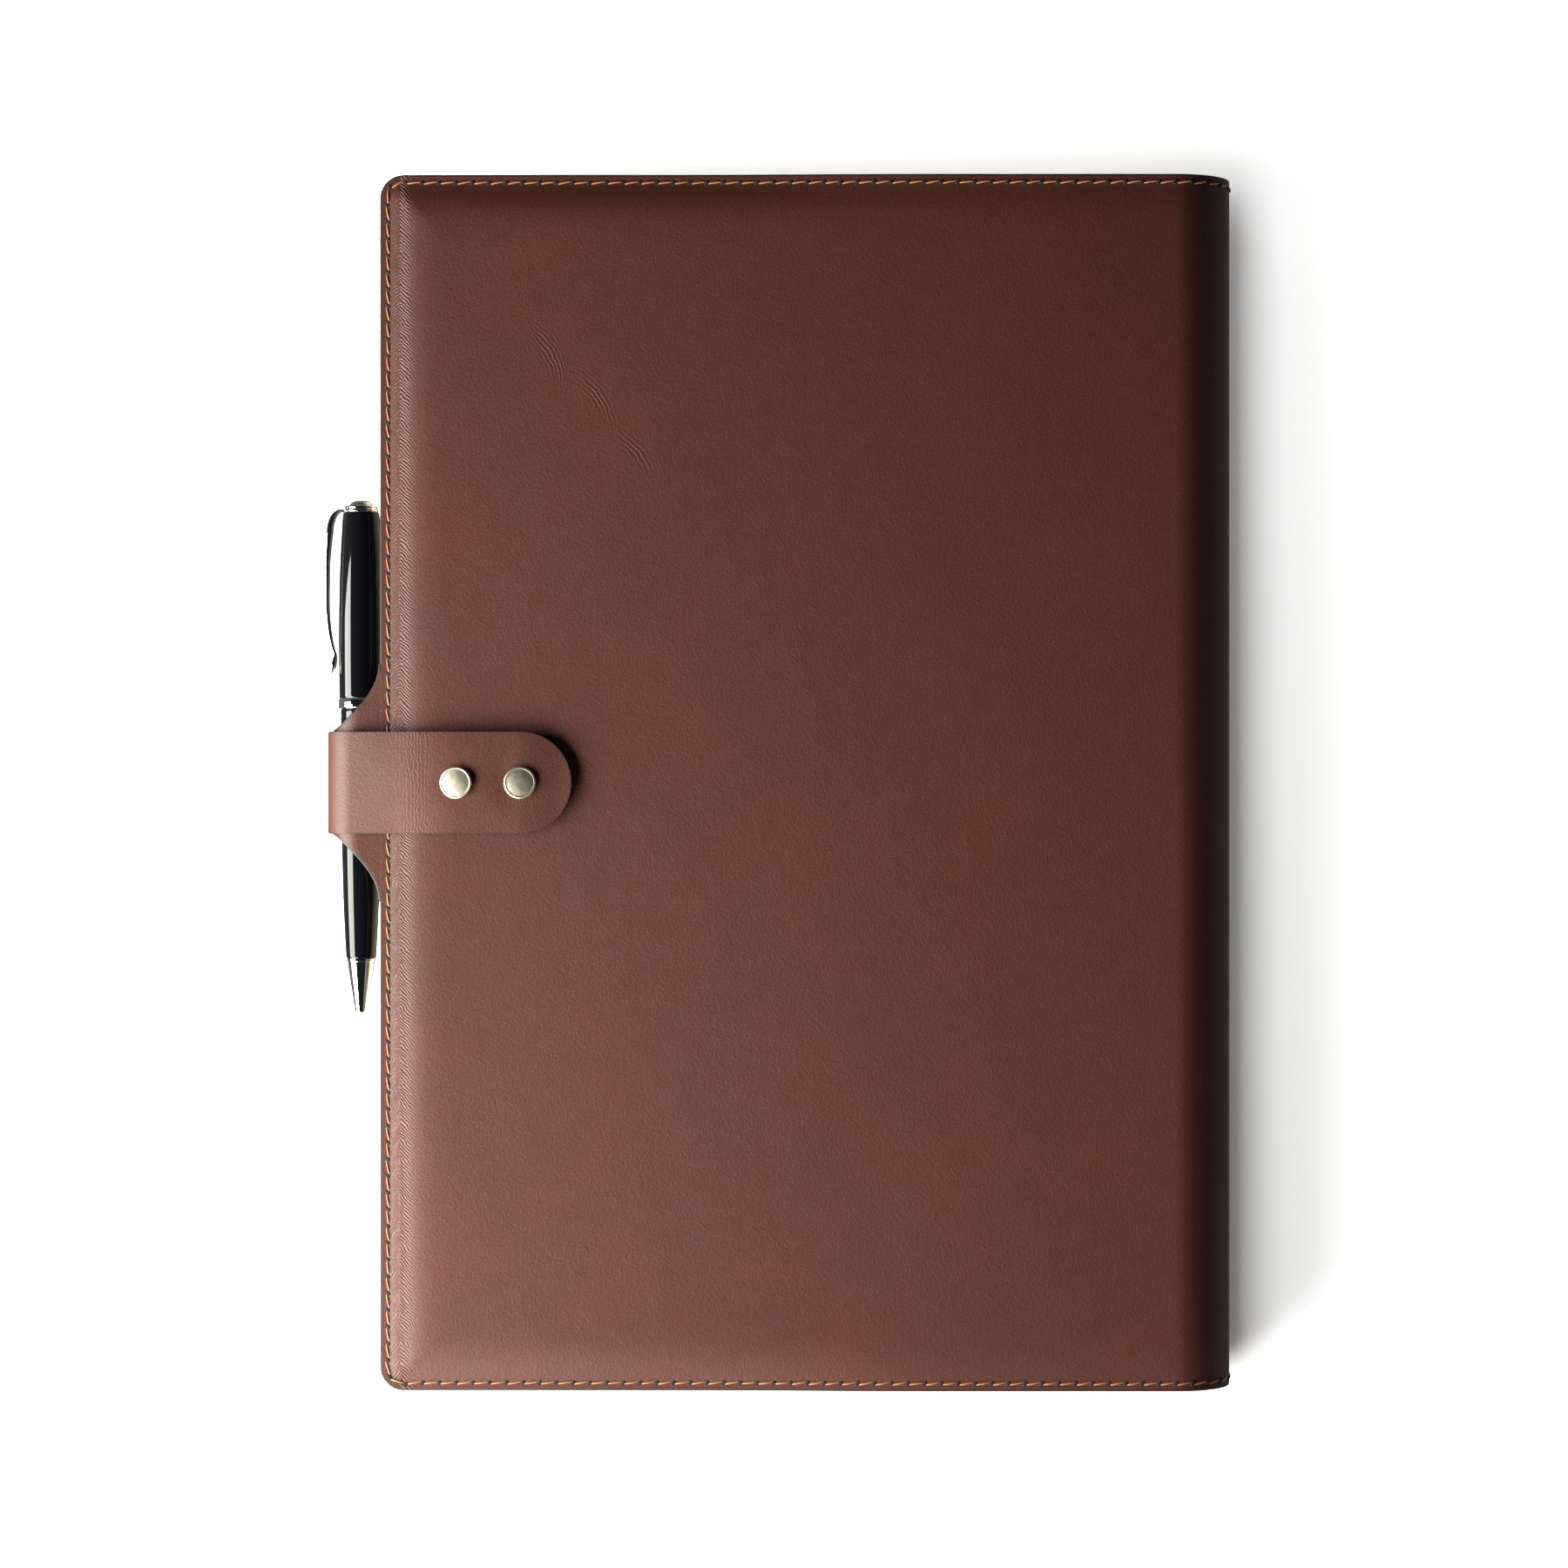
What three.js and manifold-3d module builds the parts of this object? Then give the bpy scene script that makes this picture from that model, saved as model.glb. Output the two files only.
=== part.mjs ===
// A leather notebook cover: one brown hide wrapped round a hardback notebook,
// sewn along its edges, with a pen in a loop at the fore-edge and a strap that
// closes over it on two press studs.
//
// Millimetres, +Z up. The closed cover lies on its lower panel. The spine runs
// along Y at +X, the pen and strap are at -X, and the head of the book is at +Y.
// The origin is the middle of the whole object's box, at the bottom.

import * as THREE from 'three';
import { mergeVertices } from 'three/addons/utils/BufferGeometryUtils.js';
import Module from 'manifold-3d';

const wasm = await Module();
wasm.setup();

// ---------------------------------------------------------------- driving sizes

const HALF_LENGTH = 158;        // head to tail of the cover is twice this
const THICKNESS = 28;           // closed, over the boards
const FORE_EDGE = -103.6;      // where the two panels end, by the pen
const CORNER_RADIUS = 6.3;      // the cover's corners at the fore-edge
const SPINE_SEAM = 103.05;       // where the panels turn into the spine
const SPINE_BULGE = 15.45;      // how far the spine's leather stands past that

const LEATHER = 1.3;            // outer hide
const LINING = 0.5;             // thin hide behind it
const BOARD = 2.3;              // the notebook's boards
const POCKET = 0.7;             // leaf that holds a board in place
const AIR = 0.1;                // between stacked layers

const MARGIN_DROP = 2.5;        // the sewn margin lies this much below the board
const SPINE_END_DROP = 0.9;     // the same, at head and tail beside the spine
const MARGIN_WIDTH = 2.45;      // flat margin, edge to the foot of the slope
const BOARD_INSET = 6;          // edge of the cover to the edge of the board
const POCKET_WIDTH = 75;
const PAGES_INSET = 9;          // edge of the cover to the edge of the pages

const STITCH_INSET = 2.1;       // edge of the cover to the seam
const THREAD = 0.6;

const PEN_X = -109.3;
const PEN_Z = 18.3;
const LOOP_BORE = 6;            // radius
const LOOP_LEATHER = 1.2;
const LOOP_HALF_WIDTH = 14;
const FLARE_HALF_WIDTH = 31;    // of the tab, where it leaves the cover

const STRAP_WIDTH = 27;
const STRAP_LEATHER = 1.4;
const STRAP_END = -53.25;        // the strap's round end
const STRAP_RISE_END = -90.15;   // where it stops climbing over the board
const STRAP_TOP = 31.2;         // its upper face along the flat flap
const STRAP_ROOT_TOP = 12;      // the sewn end stands this high, then the strap turns
const FLAP_START = -92.55;         // the flex line, past which the strap lifts
const SNAPS = [-83.35, -66.75];   // press studs along the strap

// ---------------------------------------------------------------- materials

function finish(color, roughness, metalness = 0) {
  return new THREE.MeshStandardMaterial({ color, roughness, metalness });
}

const MATERIALS = {
  hide: () => finish('#5b2f26', 0.45),
  lining: () => finish('#8a6248', 0.75),
  board: () => finish('#23262b', 0.7),
  paper: () => finish('#efe8d6', 0.85),
  thread: () => finish('#c98a58', 0.7),
  nickel: () => finish('#d9d2c0', 0.22, 1),
  lacquer: () => finish('#0b0c10', 0.12),
  chrome: () => finish('#e6e8ea', 0.08, 1),
  brass: () => finish('#c9a35a', 0.3, 1),
};

// ---------------------------------------------------------------- solids

const cover = new THREE.Group();
const upperPanel = new THREE.Group();
const spine = new THREE.Group();
const lowerPanel = new THREE.Group();
const strap = new THREE.Group();
const pen = new THREE.Group();
cover.add(upperPanel, spine, lowerPanel, strap, pen);
pen.position.set(PEN_X, 0, PEN_Z);

function addPiece(group, name, geometry, material) {
  const mesh = new THREE.Mesh(geometry, MATERIALS[material]());
  mesh.name = name;
  group.add(mesh);
  return mesh;
}

function toSolid(geometry) {
  const bare = geometry.clone();
  bare.deleteAttribute('normal');
  bare.deleteAttribute('uv');
  const merged = mergeVertices(bare);
  return new wasm.Manifold(new wasm.Mesh({
    numProp: 3,
    vertProperties: new Float32Array(merged.attributes.position.array),
    triVerts: new Uint32Array(merged.index.array),
  }));
}

function toGeometry(solid) {
  const { vertProperties, triVerts } = solid.getMesh();
  const geometry = new THREE.BufferGeometry();
  geometry.setAttribute('position', new THREE.BufferAttribute(vertProperties, 3));
  geometry.setIndex(new THREE.BufferAttribute(triVerts, 1));
  return geometry;
}

// A closed solid between two surfaces over the same grid. Each surface is a
// function of (u, v) that gives a point, and u x v points from low to high.
function slab(us, vs, low, high) {
  const points = [];
  for (const surface of [low, high]) {
    for (const u of us) {
      for (const v of vs) points.push(...surface(u, v));
    }
  }
  const faces = [];
  const at = (side, i, j) => (side * us.length + i) * vs.length + j;
  const quad = (a, b, c, d) => faces.push(a, b, c, a, c, d);
  const [lastU, lastV] = [us.length - 1, vs.length - 1];
  for (let i = 0; i < lastU; i++) {
    for (let j = 0; j < lastV; j++) {
      quad(at(1, i, j), at(1, i + 1, j), at(1, i + 1, j + 1), at(1, i, j + 1));
      quad(at(0, i, j), at(0, i, j + 1), at(0, i + 1, j + 1), at(0, i + 1, j));
    }
    quad(at(0, i, 0), at(0, i + 1, 0), at(1, i + 1, 0), at(1, i, 0));
    quad(at(1, i, lastV), at(1, i + 1, lastV), at(0, i + 1, lastV), at(0, i, lastV));
  }
  for (let j = 0; j < lastV; j++) {
    quad(at(1, 0, j), at(1, 0, j + 1), at(0, 0, j + 1), at(0, 0, j));
    quad(at(0, lastU, j), at(0, lastU, j + 1), at(1, lastU, j + 1), at(1, lastU, j));
  }
  const geometry = new THREE.BufferGeometry();
  geometry.setAttribute('position', new THREE.Float32BufferAttribute(points, 3));
  geometry.setIndex(faces);
  return geometry;
}

function box(x0, x1, y0, y1, z0, z1) {
  const geometry = new THREE.BoxGeometry(x1 - x0, y1 - y0, z1 - z0);
  return geometry.translate((x0 + x1) / 2, (y0 + y1) / 2, (z0 + z1) / 2);
}

// A shape drawn in plan, made into a column from z0 to z1.
function column(shape, z0, z1, curveSegments = 8) {
  const geometry = new THREE.ExtrudeGeometry(shape, {
    depth: z1 - z0, bevelEnabled: false, curveSegments,
  });
  return geometry.translate(0, 0, z0);
}

// A shape drawn as a section, X across and Z up, run along Y about the middle.
function across(shape, width) {
  const geometry = new THREE.ExtrudeGeometry(shape, { depth: width, bevelEnabled: false });
  return geometry.rotateX(Math.PI / 2).translate(0, width / 2, 0);
}

function rod(x, y, z0, z1, radius, sides = 20) {
  const geometry = new THREE.CylinderGeometry(radius, radius, z1 - z0, sides);
  return geometry.rotateX(Math.PI / 2).translate(x, y, (z0 + z1) / 2);
}

// The outline of a strip of leather seen edge on: a path with a thickness.
function strip(path, thickness, divisions = 10) {
  const line = path.getPoints(divisions);
  const sides = [[], []];
  line.forEach((point, i) => {
    const before = line[Math.max(i - 1, 0)];
    const after = line[Math.min(i + 1, line.length - 1)];
    const one = point.clone().sub(before).normalize();
    const two = after.clone().sub(point).normalize();
    if (i === 0) one.copy(two);
    if (i === line.length - 1) two.copy(one);
    const mean = one.clone().add(two).normalize();
    const half = thickness / 2 / mean.dot(one);
    sides[0].push(new THREE.Vector2(point.x - mean.y * half, point.y + mean.x * half));
    sides[1].push(new THREE.Vector2(point.x + mean.y * half, point.y - mean.x * half));
  });
  return new THREE.Shape([...sides[0], ...sides[1].reverse()]);
}

// ---------------------------------------------------------------- the wrapped hide

// The panels' outline, drawn in by a distance, with rounded corners at the fore-edge.
function panelOutline(inset = 0, right = SPINE_SEAM) {
  const left = FORE_EDGE + inset;
  const end = HALF_LENGTH - inset;
  const radius = CORNER_RADIUS - inset;
  const shape = new THREE.Shape();
  shape.moveTo(right, -end);
  shape.lineTo(right, end);
  shape.lineTo(left + radius, end);
  shape.absarc(left + radius, end - radius, radius, Math.PI / 2, Math.PI);
  shape.lineTo(left, -end + radius);
  shape.absarc(left + radius, -end + radius, radius, Math.PI, 1.5 * Math.PI);
  shape.lineTo(right, -end);
  return shape;
}

// How much of the full drop a point has, by its distance from the cover's edge:
// all of it over the seam, and none on the board.
const SLOPE = [[0, 1], [MARGIN_WIDTH, 0.96], [BOARD_INSET - 1.4, 0.28], [BOARD_INSET + 0.3, 0]];

function slopeShare(distance) {
  for (let i = 1; i < SLOPE.length; i++) {
    const [[d0, s0], [d1, s1]] = [SLOPE[i - 1], SLOPE[i]];
    if (distance <= d1) return s0 + (s1 - s0) * (distance - d0) / (d1 - d0);
  }
  return 0;
}

const POCKET_EDGE = FORE_EDGE + POCKET_WIDTH;

// The hide is drawn down to the pocket leaf where one is sewn in, and less past it.
function endDrop(x) {
  const past = THREE.MathUtils.clamp((x - POCKET_EDGE) / 70, 0, 1);
  return MARGIN_DROP + (SPINE_END_DROP - MARGIN_DROP) * past;
}

// How far the hide's outer face lies inside the closed book's thickness.
function drop(x, y) {
  const fore = MARGIN_DROP * slopeShare(x - FORE_EDGE);
  const ends = endDrop(x) * slopeShare(HALF_LENGTH - Math.abs(y));
  return Math.max(fore, ends);
}

const PANEL_X = [
  ...SLOPE.map(([distance]) => FORE_EDGE + distance), POCKET_EDGE, POCKET_EDGE + 70, SPINE_SEAM,
];
const PANEL_Y = SLOPE.map(([distance]) => distance - HALF_LENGTH);
PANEL_Y.push(...PANEL_Y.map((y) => -y).reverse());

// One layer of a panel, from one depth to another below the hide's outer face.
function layer(isUpper, from, to, outline = panelOutline()) {
  const level = (depth) => (x, y) => {
    const z = drop(x, y) + depth;
    return [x, y, isUpper ? THICKNESS - z : z];
  };
  const [low, high] = isUpper ? [level(to), level(from)] : [level(from), level(to)];
  const sheet = toSolid(slab(PANEL_X, PANEL_Y, low, high));
  return sheet.intersect(toSolid(column(outline, -1, THICKNESS + 1)));
}

const LINING_FROM = LEATHER + AIR;
const BOARD_FROM = LINING_FROM + LINING + AIR;
const POCKET_FROM = BOARD_FROM + BOARD + 2 * AIR;
const PAGES_FROM = POCKET_FROM + POCKET + AIR;

// Flat pieces of the two panels, given by their depth from the outside.
function flatPiece(isUpper, outline, from, to) {
  const [z0, z1] = isUpper ? [THICKNESS - to, THICKNESS - from] : [from, to];
  return column(outline, z0, z1);
}

// The seam's line, as a narrow ring that is open at the spine.
function seamOutline() {
  const ring = panelOutline(STITCH_INSET - THREAD / 2);
  const inner = panelOutline(STITCH_INSET + THREAD / 2);
  const outer = toSolid(column(ring, -1, THICKNESS + 1));
  return outer.subtract(toSolid(column(inner, -2, THICKNESS + 2)));
}

function seam(isUpper) {
  const level = (depth) => (x, y) => {
    const z = drop(x, y) + depth;
    return [x, y, isUpper ? THICKNESS - z : z];
  };
  const [near, far] = [level(-0.05), level(-0.35)];
  const [low, high] = isUpper ? [near, far] : [far, near];
  return toSolid(slab(PANEL_X, PANEL_Y, low, high)).intersect(seamOutline());
}

function boardOutline() {
  const shape = new THREE.Shape();
  const [left, right] = [FORE_EDGE + BOARD_INSET + 0.5, SPINE_SEAM - 4];
  const end = HALF_LENGTH - BOARD_INSET - 0.5;
  shape.moveTo(left, -end);
  shape.lineTo(right, -end);
  shape.lineTo(right, end);
  shape.lineTo(left, end);
  return shape;
}

// ---------------------------------------------------------------- spine

const SPINE_STEPS = 12;
const SPINE_ANGLES = Array.from({ length: SPINE_STEPS + 1 }, (_, i) => (
  Math.PI / 2 - Math.PI * i / SPINE_STEPS
));

// Half a hollow elliptical tube behind the seams: a layer of the spine, from one
// depth to another below the hide's outer face.
function spineLayer(from, to, ys = PANEL_Y) {
  const level = (depth) => (angle, y) => {
    const rise = THICKNESS / 2 - drop(SPINE_SEAM, y) - depth;
    return [
      SPINE_SEAM + Math.cos(angle) * (SPINE_BULGE - depth),
      y,
      THICKNESS / 2 + Math.sin(angle) * rise,
    ];
  };
  return slab(SPINE_ANGLES, ys, level(to), level(from));
}

// ---------------------------------------------------------------- pen loop

// The tab leaves the upper panel's edge, passes over the pen, turns round it and
// comes back under the pocket leaf, where the seam holds it.
function penLoopSection() {
  const radius = LOOP_BORE + LOOP_LEATHER / 2;
  const returnZ = THICKNESS - PAGES_FROM - LOOP_LEATHER / 2;
  const turn = -Math.PI / 6;
  const leave = new THREE.Vector2(
    PEN_X + radius * Math.cos(turn), PEN_Z + radius * Math.sin(turn));
  const path = new THREE.Path();
  path.moveTo(FORE_EDGE, PEN_Z + radius);
  path.lineTo(PEN_X, PEN_Z + radius);
  path.absarc(PEN_X, PEN_Z, radius, Math.PI / 2, 2 * Math.PI + turn);
  path.quadraticCurveTo(
    leave.x + 3.6, leave.y + 6.2, FORE_EDGE + 5.5, returnZ);
  path.lineTo(FORE_EDGE + 7.5, returnZ);
  return strip(path, LOOP_LEATHER, 14);
}

// The tab in plan: wide where it leaves the cover, and drawn in by two hollow
// curves to the loop's own width.
function penTabOutline() {
  const tip = PEN_X - LOOP_BORE - LOOP_LEATHER - 1;
  const shape = new THREE.Shape();
  shape.moveTo(FORE_EDGE + 9, -LOOP_HALF_WIDTH);
  shape.lineTo(FORE_EDGE + 9, LOOP_HALF_WIDTH);
  shape.lineTo(FORE_EDGE, LOOP_HALF_WIDTH);
  shape.lineTo(FORE_EDGE, FLARE_HALF_WIDTH);
  shape.quadraticCurveTo(FORE_EDGE - 0.3, 22.8, PEN_X - 6.4, LOOP_HALF_WIDTH);
  shape.lineTo(tip, LOOP_HALF_WIDTH);
  shape.lineTo(tip, -LOOP_HALF_WIDTH);
  shape.lineTo(PEN_X - 6.4, -LOOP_HALF_WIDTH);
  shape.quadraticCurveTo(FORE_EDGE - 0.3, -22.8, FORE_EDGE, -FLARE_HALF_WIDTH);
  shape.lineTo(FORE_EDGE, -LOOP_HALF_WIDTH);
  return shape;
}

function penLoop() {
  const wide = toSolid(across(penLoopSection(), 2 * FLARE_HALF_WIDTH));
  const flared = toSolid(column(penTabOutline(), PEN_Z, THICKNESS));
  const band = toSolid(box(
    PEN_X - 10, FORE_EDGE + 9, -LOOP_HALF_WIDTH, LOOP_HALF_WIDTH, 0, PEN_Z + 0.5));
  return wide.intersect(flared.add(band));
}

// ---------------------------------------------------------------- strap

const STRAP_MID = STRAP_LEATHER / 2;
const STRAP_RADIUS = LOOP_BORE + LOOP_LEATHER + 0.05 + STRAP_MID;   // about the pen
const ROOT_Z = LEATHER + MARGIN_DROP + AIR + 0.25;                  // of the sewn tongue
const ROOT_BEND = 9.7;
const CLIMB = Math.atan2(
  STRAP_TOP - STRAP_MID - PEN_Z - STRAP_RADIUS, STRAP_RISE_END - PEN_X);

// Edge on, the strap leaves the seam, turns up beside the loop, goes round it, climbs
// towards the board and lies level under its press studs.
function strapSection() {
  const left = PEN_X - STRAP_RADIUS;
  const path = new THREE.Path();
  path.moveTo(FORE_EDGE - 2.2, ROOT_Z + 0.15);
  path.lineTo(left + ROOT_BEND, ROOT_Z + 0.25);
  path.absarc(left + ROOT_BEND, ROOT_Z + 0.25 + ROOT_BEND, ROOT_BEND, 1.5 * Math.PI, Math.PI, true);
  path.lineTo(left, PEN_Z);
  path.absarc(PEN_X, PEN_Z, STRAP_RADIUS, Math.PI, Math.PI / 2 + CLIMB, true);
  path.lineTo(STRAP_RISE_END, STRAP_TOP - STRAP_MID);
  path.lineTo(STRAP_END, STRAP_TOP - STRAP_MID);
  return strip(path, STRAP_LEATHER, 9);
}

// The sewn end of the strap is pared thin, to lie between the hide and the lining.
function strapTongue() {
  const shape = new THREE.Shape();
  shape.moveTo(FORE_EDGE + 6, ROOT_Z - 0.2);
  shape.lineTo(FORE_EDGE + 6, ROOT_Z + 0.2);
  shape.lineTo(FORE_EDGE - 0.4, ROOT_Z + 0.2);
  shape.lineTo(FORE_EDGE - 2.4, ROOT_Z + 0.15 + STRAP_MID);
  shape.lineTo(FORE_EDGE - 2.4, ROOT_Z + 0.15 - STRAP_MID);
  shape.lineTo(FORE_EDGE - 0.4, ROOT_Z - 0.2);
  return shape;
}

// The strap in plan, with its round end.
function strapOutline() {
  const radius = STRAP_WIDTH / 2;
  const shape = new THREE.Shape();
  shape.moveTo(PEN_X - 20, -radius);
  shape.lineTo(STRAP_END - radius, -radius);
  shape.absarc(STRAP_END - radius, 0, radius, -Math.PI / 2, Math.PI / 2);
  shape.lineTo(PEN_X - 20, radius);
  return shape;
}

// One strap, cut where it is taken to bend: level across the stretch that stands
// beside the loop, and upright where it starts to flex over the board.
function strapPieces() {
  const far = 2 * THICKNESS;
  const strap = toSolid(across(strapSection(), STRAP_WIDTH))
    .intersect(toSolid(column(strapOutline(), 0, far, 14)));
  const below = toSolid(box(-far * 4, far * 4, -far, far, 0, STRAP_ROOT_TOP));
  const outside = toSolid(box(FLAP_START, far, -far, far, STRAP_ROOT_TOP, far));
  const root = strap.intersect(below).add(toSolid(across(strapTongue(), STRAP_WIDTH)));
  const wrap = strap.subtract(below).subtract(outside);
  let flap = strap.intersect(outside);
  for (const x of SNAPS) {
    flap = flap.subtract(toSolid(rod(x, 0, THICKNESS, STRAP_TOP + 2, SHANK + 0.1)));
  }
  return { strap_root: root, strap_wrap: wrap, strap_flap: flap };
}

// ---------------------------------------------------------------- press studs

const SHANK = 1.2;              // radius of the tubes that are set through the leather
const CAP_RADIUS = 4.2;
const CAP_RISE = 1.2;
const KNOB_RADIUS = 1.7;
const SOCKET_BORE = 2.3;
const STRAP_UNDER = STRAP_TOP - STRAP_LEATHER;

// Turned about the vertical: each point of the profile is [radius, height].
function turned(profile, sides = 20) {
  const points = profile.map(([radius, height]) => new THREE.Vector2(radius, height));
  return new THREE.LatheGeometry(points, sides).rotateX(Math.PI / 2);
}

// Head of the cap: a low dome with a rolled edge, on a tube set through the strap.
function snapCap() {
  return turned([
    [0, STRAP_UNDER], [SHANK, STRAP_UNDER], [SHANK, STRAP_TOP], [CAP_RADIUS - 0.15, STRAP_TOP],
    [CAP_RADIUS, STRAP_TOP + 0.3], [CAP_RADIUS - 0.25, STRAP_TOP + 0.72],
    [3.1, STRAP_TOP + 0.98], [1.6, STRAP_TOP + 1.15], [0, STRAP_TOP + CAP_RISE],
  ]);
}

// Ring under the strap, whose bore clears the stud's knob.
function snapSocket() {
  const top = STRAP_UNDER - 0.02;
  return turned([
    [SOCKET_BORE, top - 1.15], [CAP_RADIUS - 0.6, top - 1.15], [CAP_RADIUS - 0.1, top - 0.5],
    [CAP_RADIUS - 0.1, top], [SOCKET_BORE, top], [SOCKET_BORE, top - 1.15],
  ]);
}

// Flange on the cover with the knob that the socket closes on.
function snapStud() {
  return turned([
    [SHANK + 0.05, THICKNESS], [CAP_RADIUS - 0.5, THICKNESS], [CAP_RADIUS - 0.5, THICKNESS + 0.35],
    [KNOB_RADIUS - 0.15, THICKNESS + 0.5], [KNOB_RADIUS, THICKNESS + 1.1],
    [SHANK + 0.05, THICKNESS + 1.35], [SHANK + 0.05, THICKNESS],
  ]);
}

// Rivet that is set through the hide from behind and holds the stud.
function snapRivet() {
  const back = THICKNESS - LINING_FROM;
  return turned([
    [0, back - LINING + 0.05], [CAP_RADIUS - 0.5, back - LINING + 0.05], [CAP_RADIUS - 0.5, back],
    [SHANK, back], [SHANK, THICKNESS + 1.2], [0, THICKNESS + 1.2],
  ]);
}

// ---------------------------------------------------------------- pen

// Turned about Y, the pen's axis: each point of the profile is [radius, y].
function spun(profile, sides = 20) {
  return new THREE.LatheGeometry(
    profile.map(([radius, y]) => new THREE.Vector2(radius, y)), sides);
}

const PEN_TOP = 73.9;
const CLIP_PLATE_Y = 71.2;
const RING_Y = [19.4, 22];
const BARREL_END = -45.8;
const NOSE_TIP = -60.2;
const REFILL_BORE = 2;
const REFILL_TRAVEL = 3.4;
const CLIP_WIDTH = 3.4;
const CLIP_OUT = 9.1;           // from the pen's axis to the middle of the clip's arm

function penFinial() {
  const base = CLIP_PLATE_Y + 0.45;
  return spun([
    [0, base], [4.2, base], [4.25, base + 0.5], [3.9, base + 0.9], [3.1, base + 1],
    [2.7, base + 1.6], [1.6, PEN_TOP - 0.2], [0, PEN_TOP],
  ]);
}

function penUpperBarrel() {
  return spun([
    [0, RING_Y[1] + 0.1], [5.75, RING_Y[1] + 0.1], [5.85, 34], [5.8, 46], [5.5, 58],
    [4.95, 68], [4.65, CLIP_PLATE_Y - 0.5], [0, CLIP_PLATE_Y - 0.5],
  ]);
}

function penRing() {
  return spun([
    [0, RING_Y[0]], [5.75, RING_Y[0]], [5.9, RING_Y[0] + 0.25], [5.9, RING_Y[1] - 0.25],
    [5.75, RING_Y[1]], [0, RING_Y[1]],
  ]);
}

function penLowerBarrel() {
  return spun([
    [2.4, BARREL_END], [3.85, BARREL_END], [4.35, -38], [4.7, -30], [5.05, -16],
    [5.3, 4], [5.35, RING_Y[0] - 0.1], [2.4, RING_Y[0] - 0.1], [2.4, BARREL_END],
  ]);
}

function penNose() {
  return spun([
    [1.1, NOSE_TIP], [1.45, NOSE_TIP], [1.6, NOSE_TIP + 0.4], [2.6, -53.5],
    [3.65, BARREL_END - 0.1], [REFILL_BORE, BARREL_END - 0.1], [REFILL_BORE, -56],
    [1.1, -56.4], [1.1, NOSE_TIP],
  ]);
}

function penRefill() {
  return spun([
    [0, NOSE_TIP + 0.8], [0.35, NOSE_TIP + 0.8], [0.85, NOSE_TIP + 2.2], [0.85, -52.4],
    [1.6, -52], [1.6, RING_Y[0] - 8], [0, RING_Y[0] - 8],
  ], 12);
}

// Disc between barrel and finial, with the short arm that the clip hangs on.
function clipCollar() {
  const disc = spun([
    [0, CLIP_PLATE_Y - 0.4], [4.55, CLIP_PLATE_Y - 0.4], [4.55, CLIP_PLATE_Y + 0.35],
    [0, CLIP_PLATE_Y + 0.35],
  ]);
  const arm = box(-5.2, 0, CLIP_PLATE_Y - 0.4, CLIP_PLATE_Y + 0.35, -CLIP_WIDTH / 2, CLIP_WIDTH / 2);
  return toGeometry(toSolid(disc).add(toSolid(arm)));
}

// The sprung arm: out from the collar, down beside the barrel, in to touch it at the
// foot, and out again at the tip.
function clipArm() {
  const path = new THREE.Path();
  path.moveTo(-5.5, CLIP_PLATE_Y);
  path.lineTo(-CLIP_OUT + 1.6, CLIP_PLATE_Y);
  path.quadraticCurveTo(-CLIP_OUT, CLIP_PLATE_Y, -CLIP_OUT, CLIP_PLATE_Y - 2.4);
  path.lineTo(-CLIP_OUT, 48);
  path.quadraticCurveTo(-CLIP_OUT, 40, -6.7, 34);
  path.quadraticCurveTo(-6.2, 32.6, -8, 28.6);
  const arm = new THREE.ExtrudeGeometry(strip(path, 0.8, 5), {
    depth: CLIP_WIDTH, bevelEnabled: false,
  });
  return arm.translate(0, 0, -CLIP_WIDTH / 2);
}

// ---------------------------------------------------------------- assembly

function addPanel(group, isUpper, side) {
  let hide = layer(isUpper, 0, LEATHER);
  let lining = layer(isUpper, LINING_FROM, LINING_FROM + LINING);
  if (isUpper) {
    for (const x of SNAPS) {
      hide = hide.subtract(toSolid(rod(x, 0, 0, 2 * THICKNESS, SHANK + 0.1)));
      lining = lining.subtract(toSolid(rod(x, 0, 0, 2 * THICKNESS, CAP_RADIUS - 0.3)));
    }
  } else {
    const notch = box(
      FORE_EDGE - 1, FORE_EDGE + 6.2, -STRAP_WIDTH / 2 - 0.2, STRAP_WIDTH / 2 + 0.2, 0, THICKNESS);
    lining = lining.subtract(toSolid(notch));
  }
  const pocket = panelOutline(0, POCKET_EDGE);
  addPiece(group, `leather_${side}`, toGeometry(hide), 'hide');
  addPiece(group, `lining_${side}`, toGeometry(lining), 'lining');
  addPiece(group, `board_${side}`,
    flatPiece(isUpper, boardOutline(), BOARD_FROM, BOARD_FROM + BOARD), 'board');
  addPiece(group, `pocket_${side}`,
    flatPiece(isUpper, pocket, POCKET_FROM, POCKET_FROM + POCKET), 'lining');
  addPiece(group, `thread_${side}`, toGeometry(seam(isUpper)), 'thread');
}

addPanel(upperPanel, true, 'upper');
addPanel(lowerPanel, false, 'lower');

addPiece(lowerPanel, 'page_block', box(
  FORE_EDGE + PAGES_INSET, SPINE_SEAM - 0.3,
  -HALF_LENGTH + PAGES_INSET + 0.5, HALF_LENGTH - PAGES_INSET - 0.5,
  PAGES_FROM, THICKNESS - PAGES_FROM), 'paper');

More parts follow.
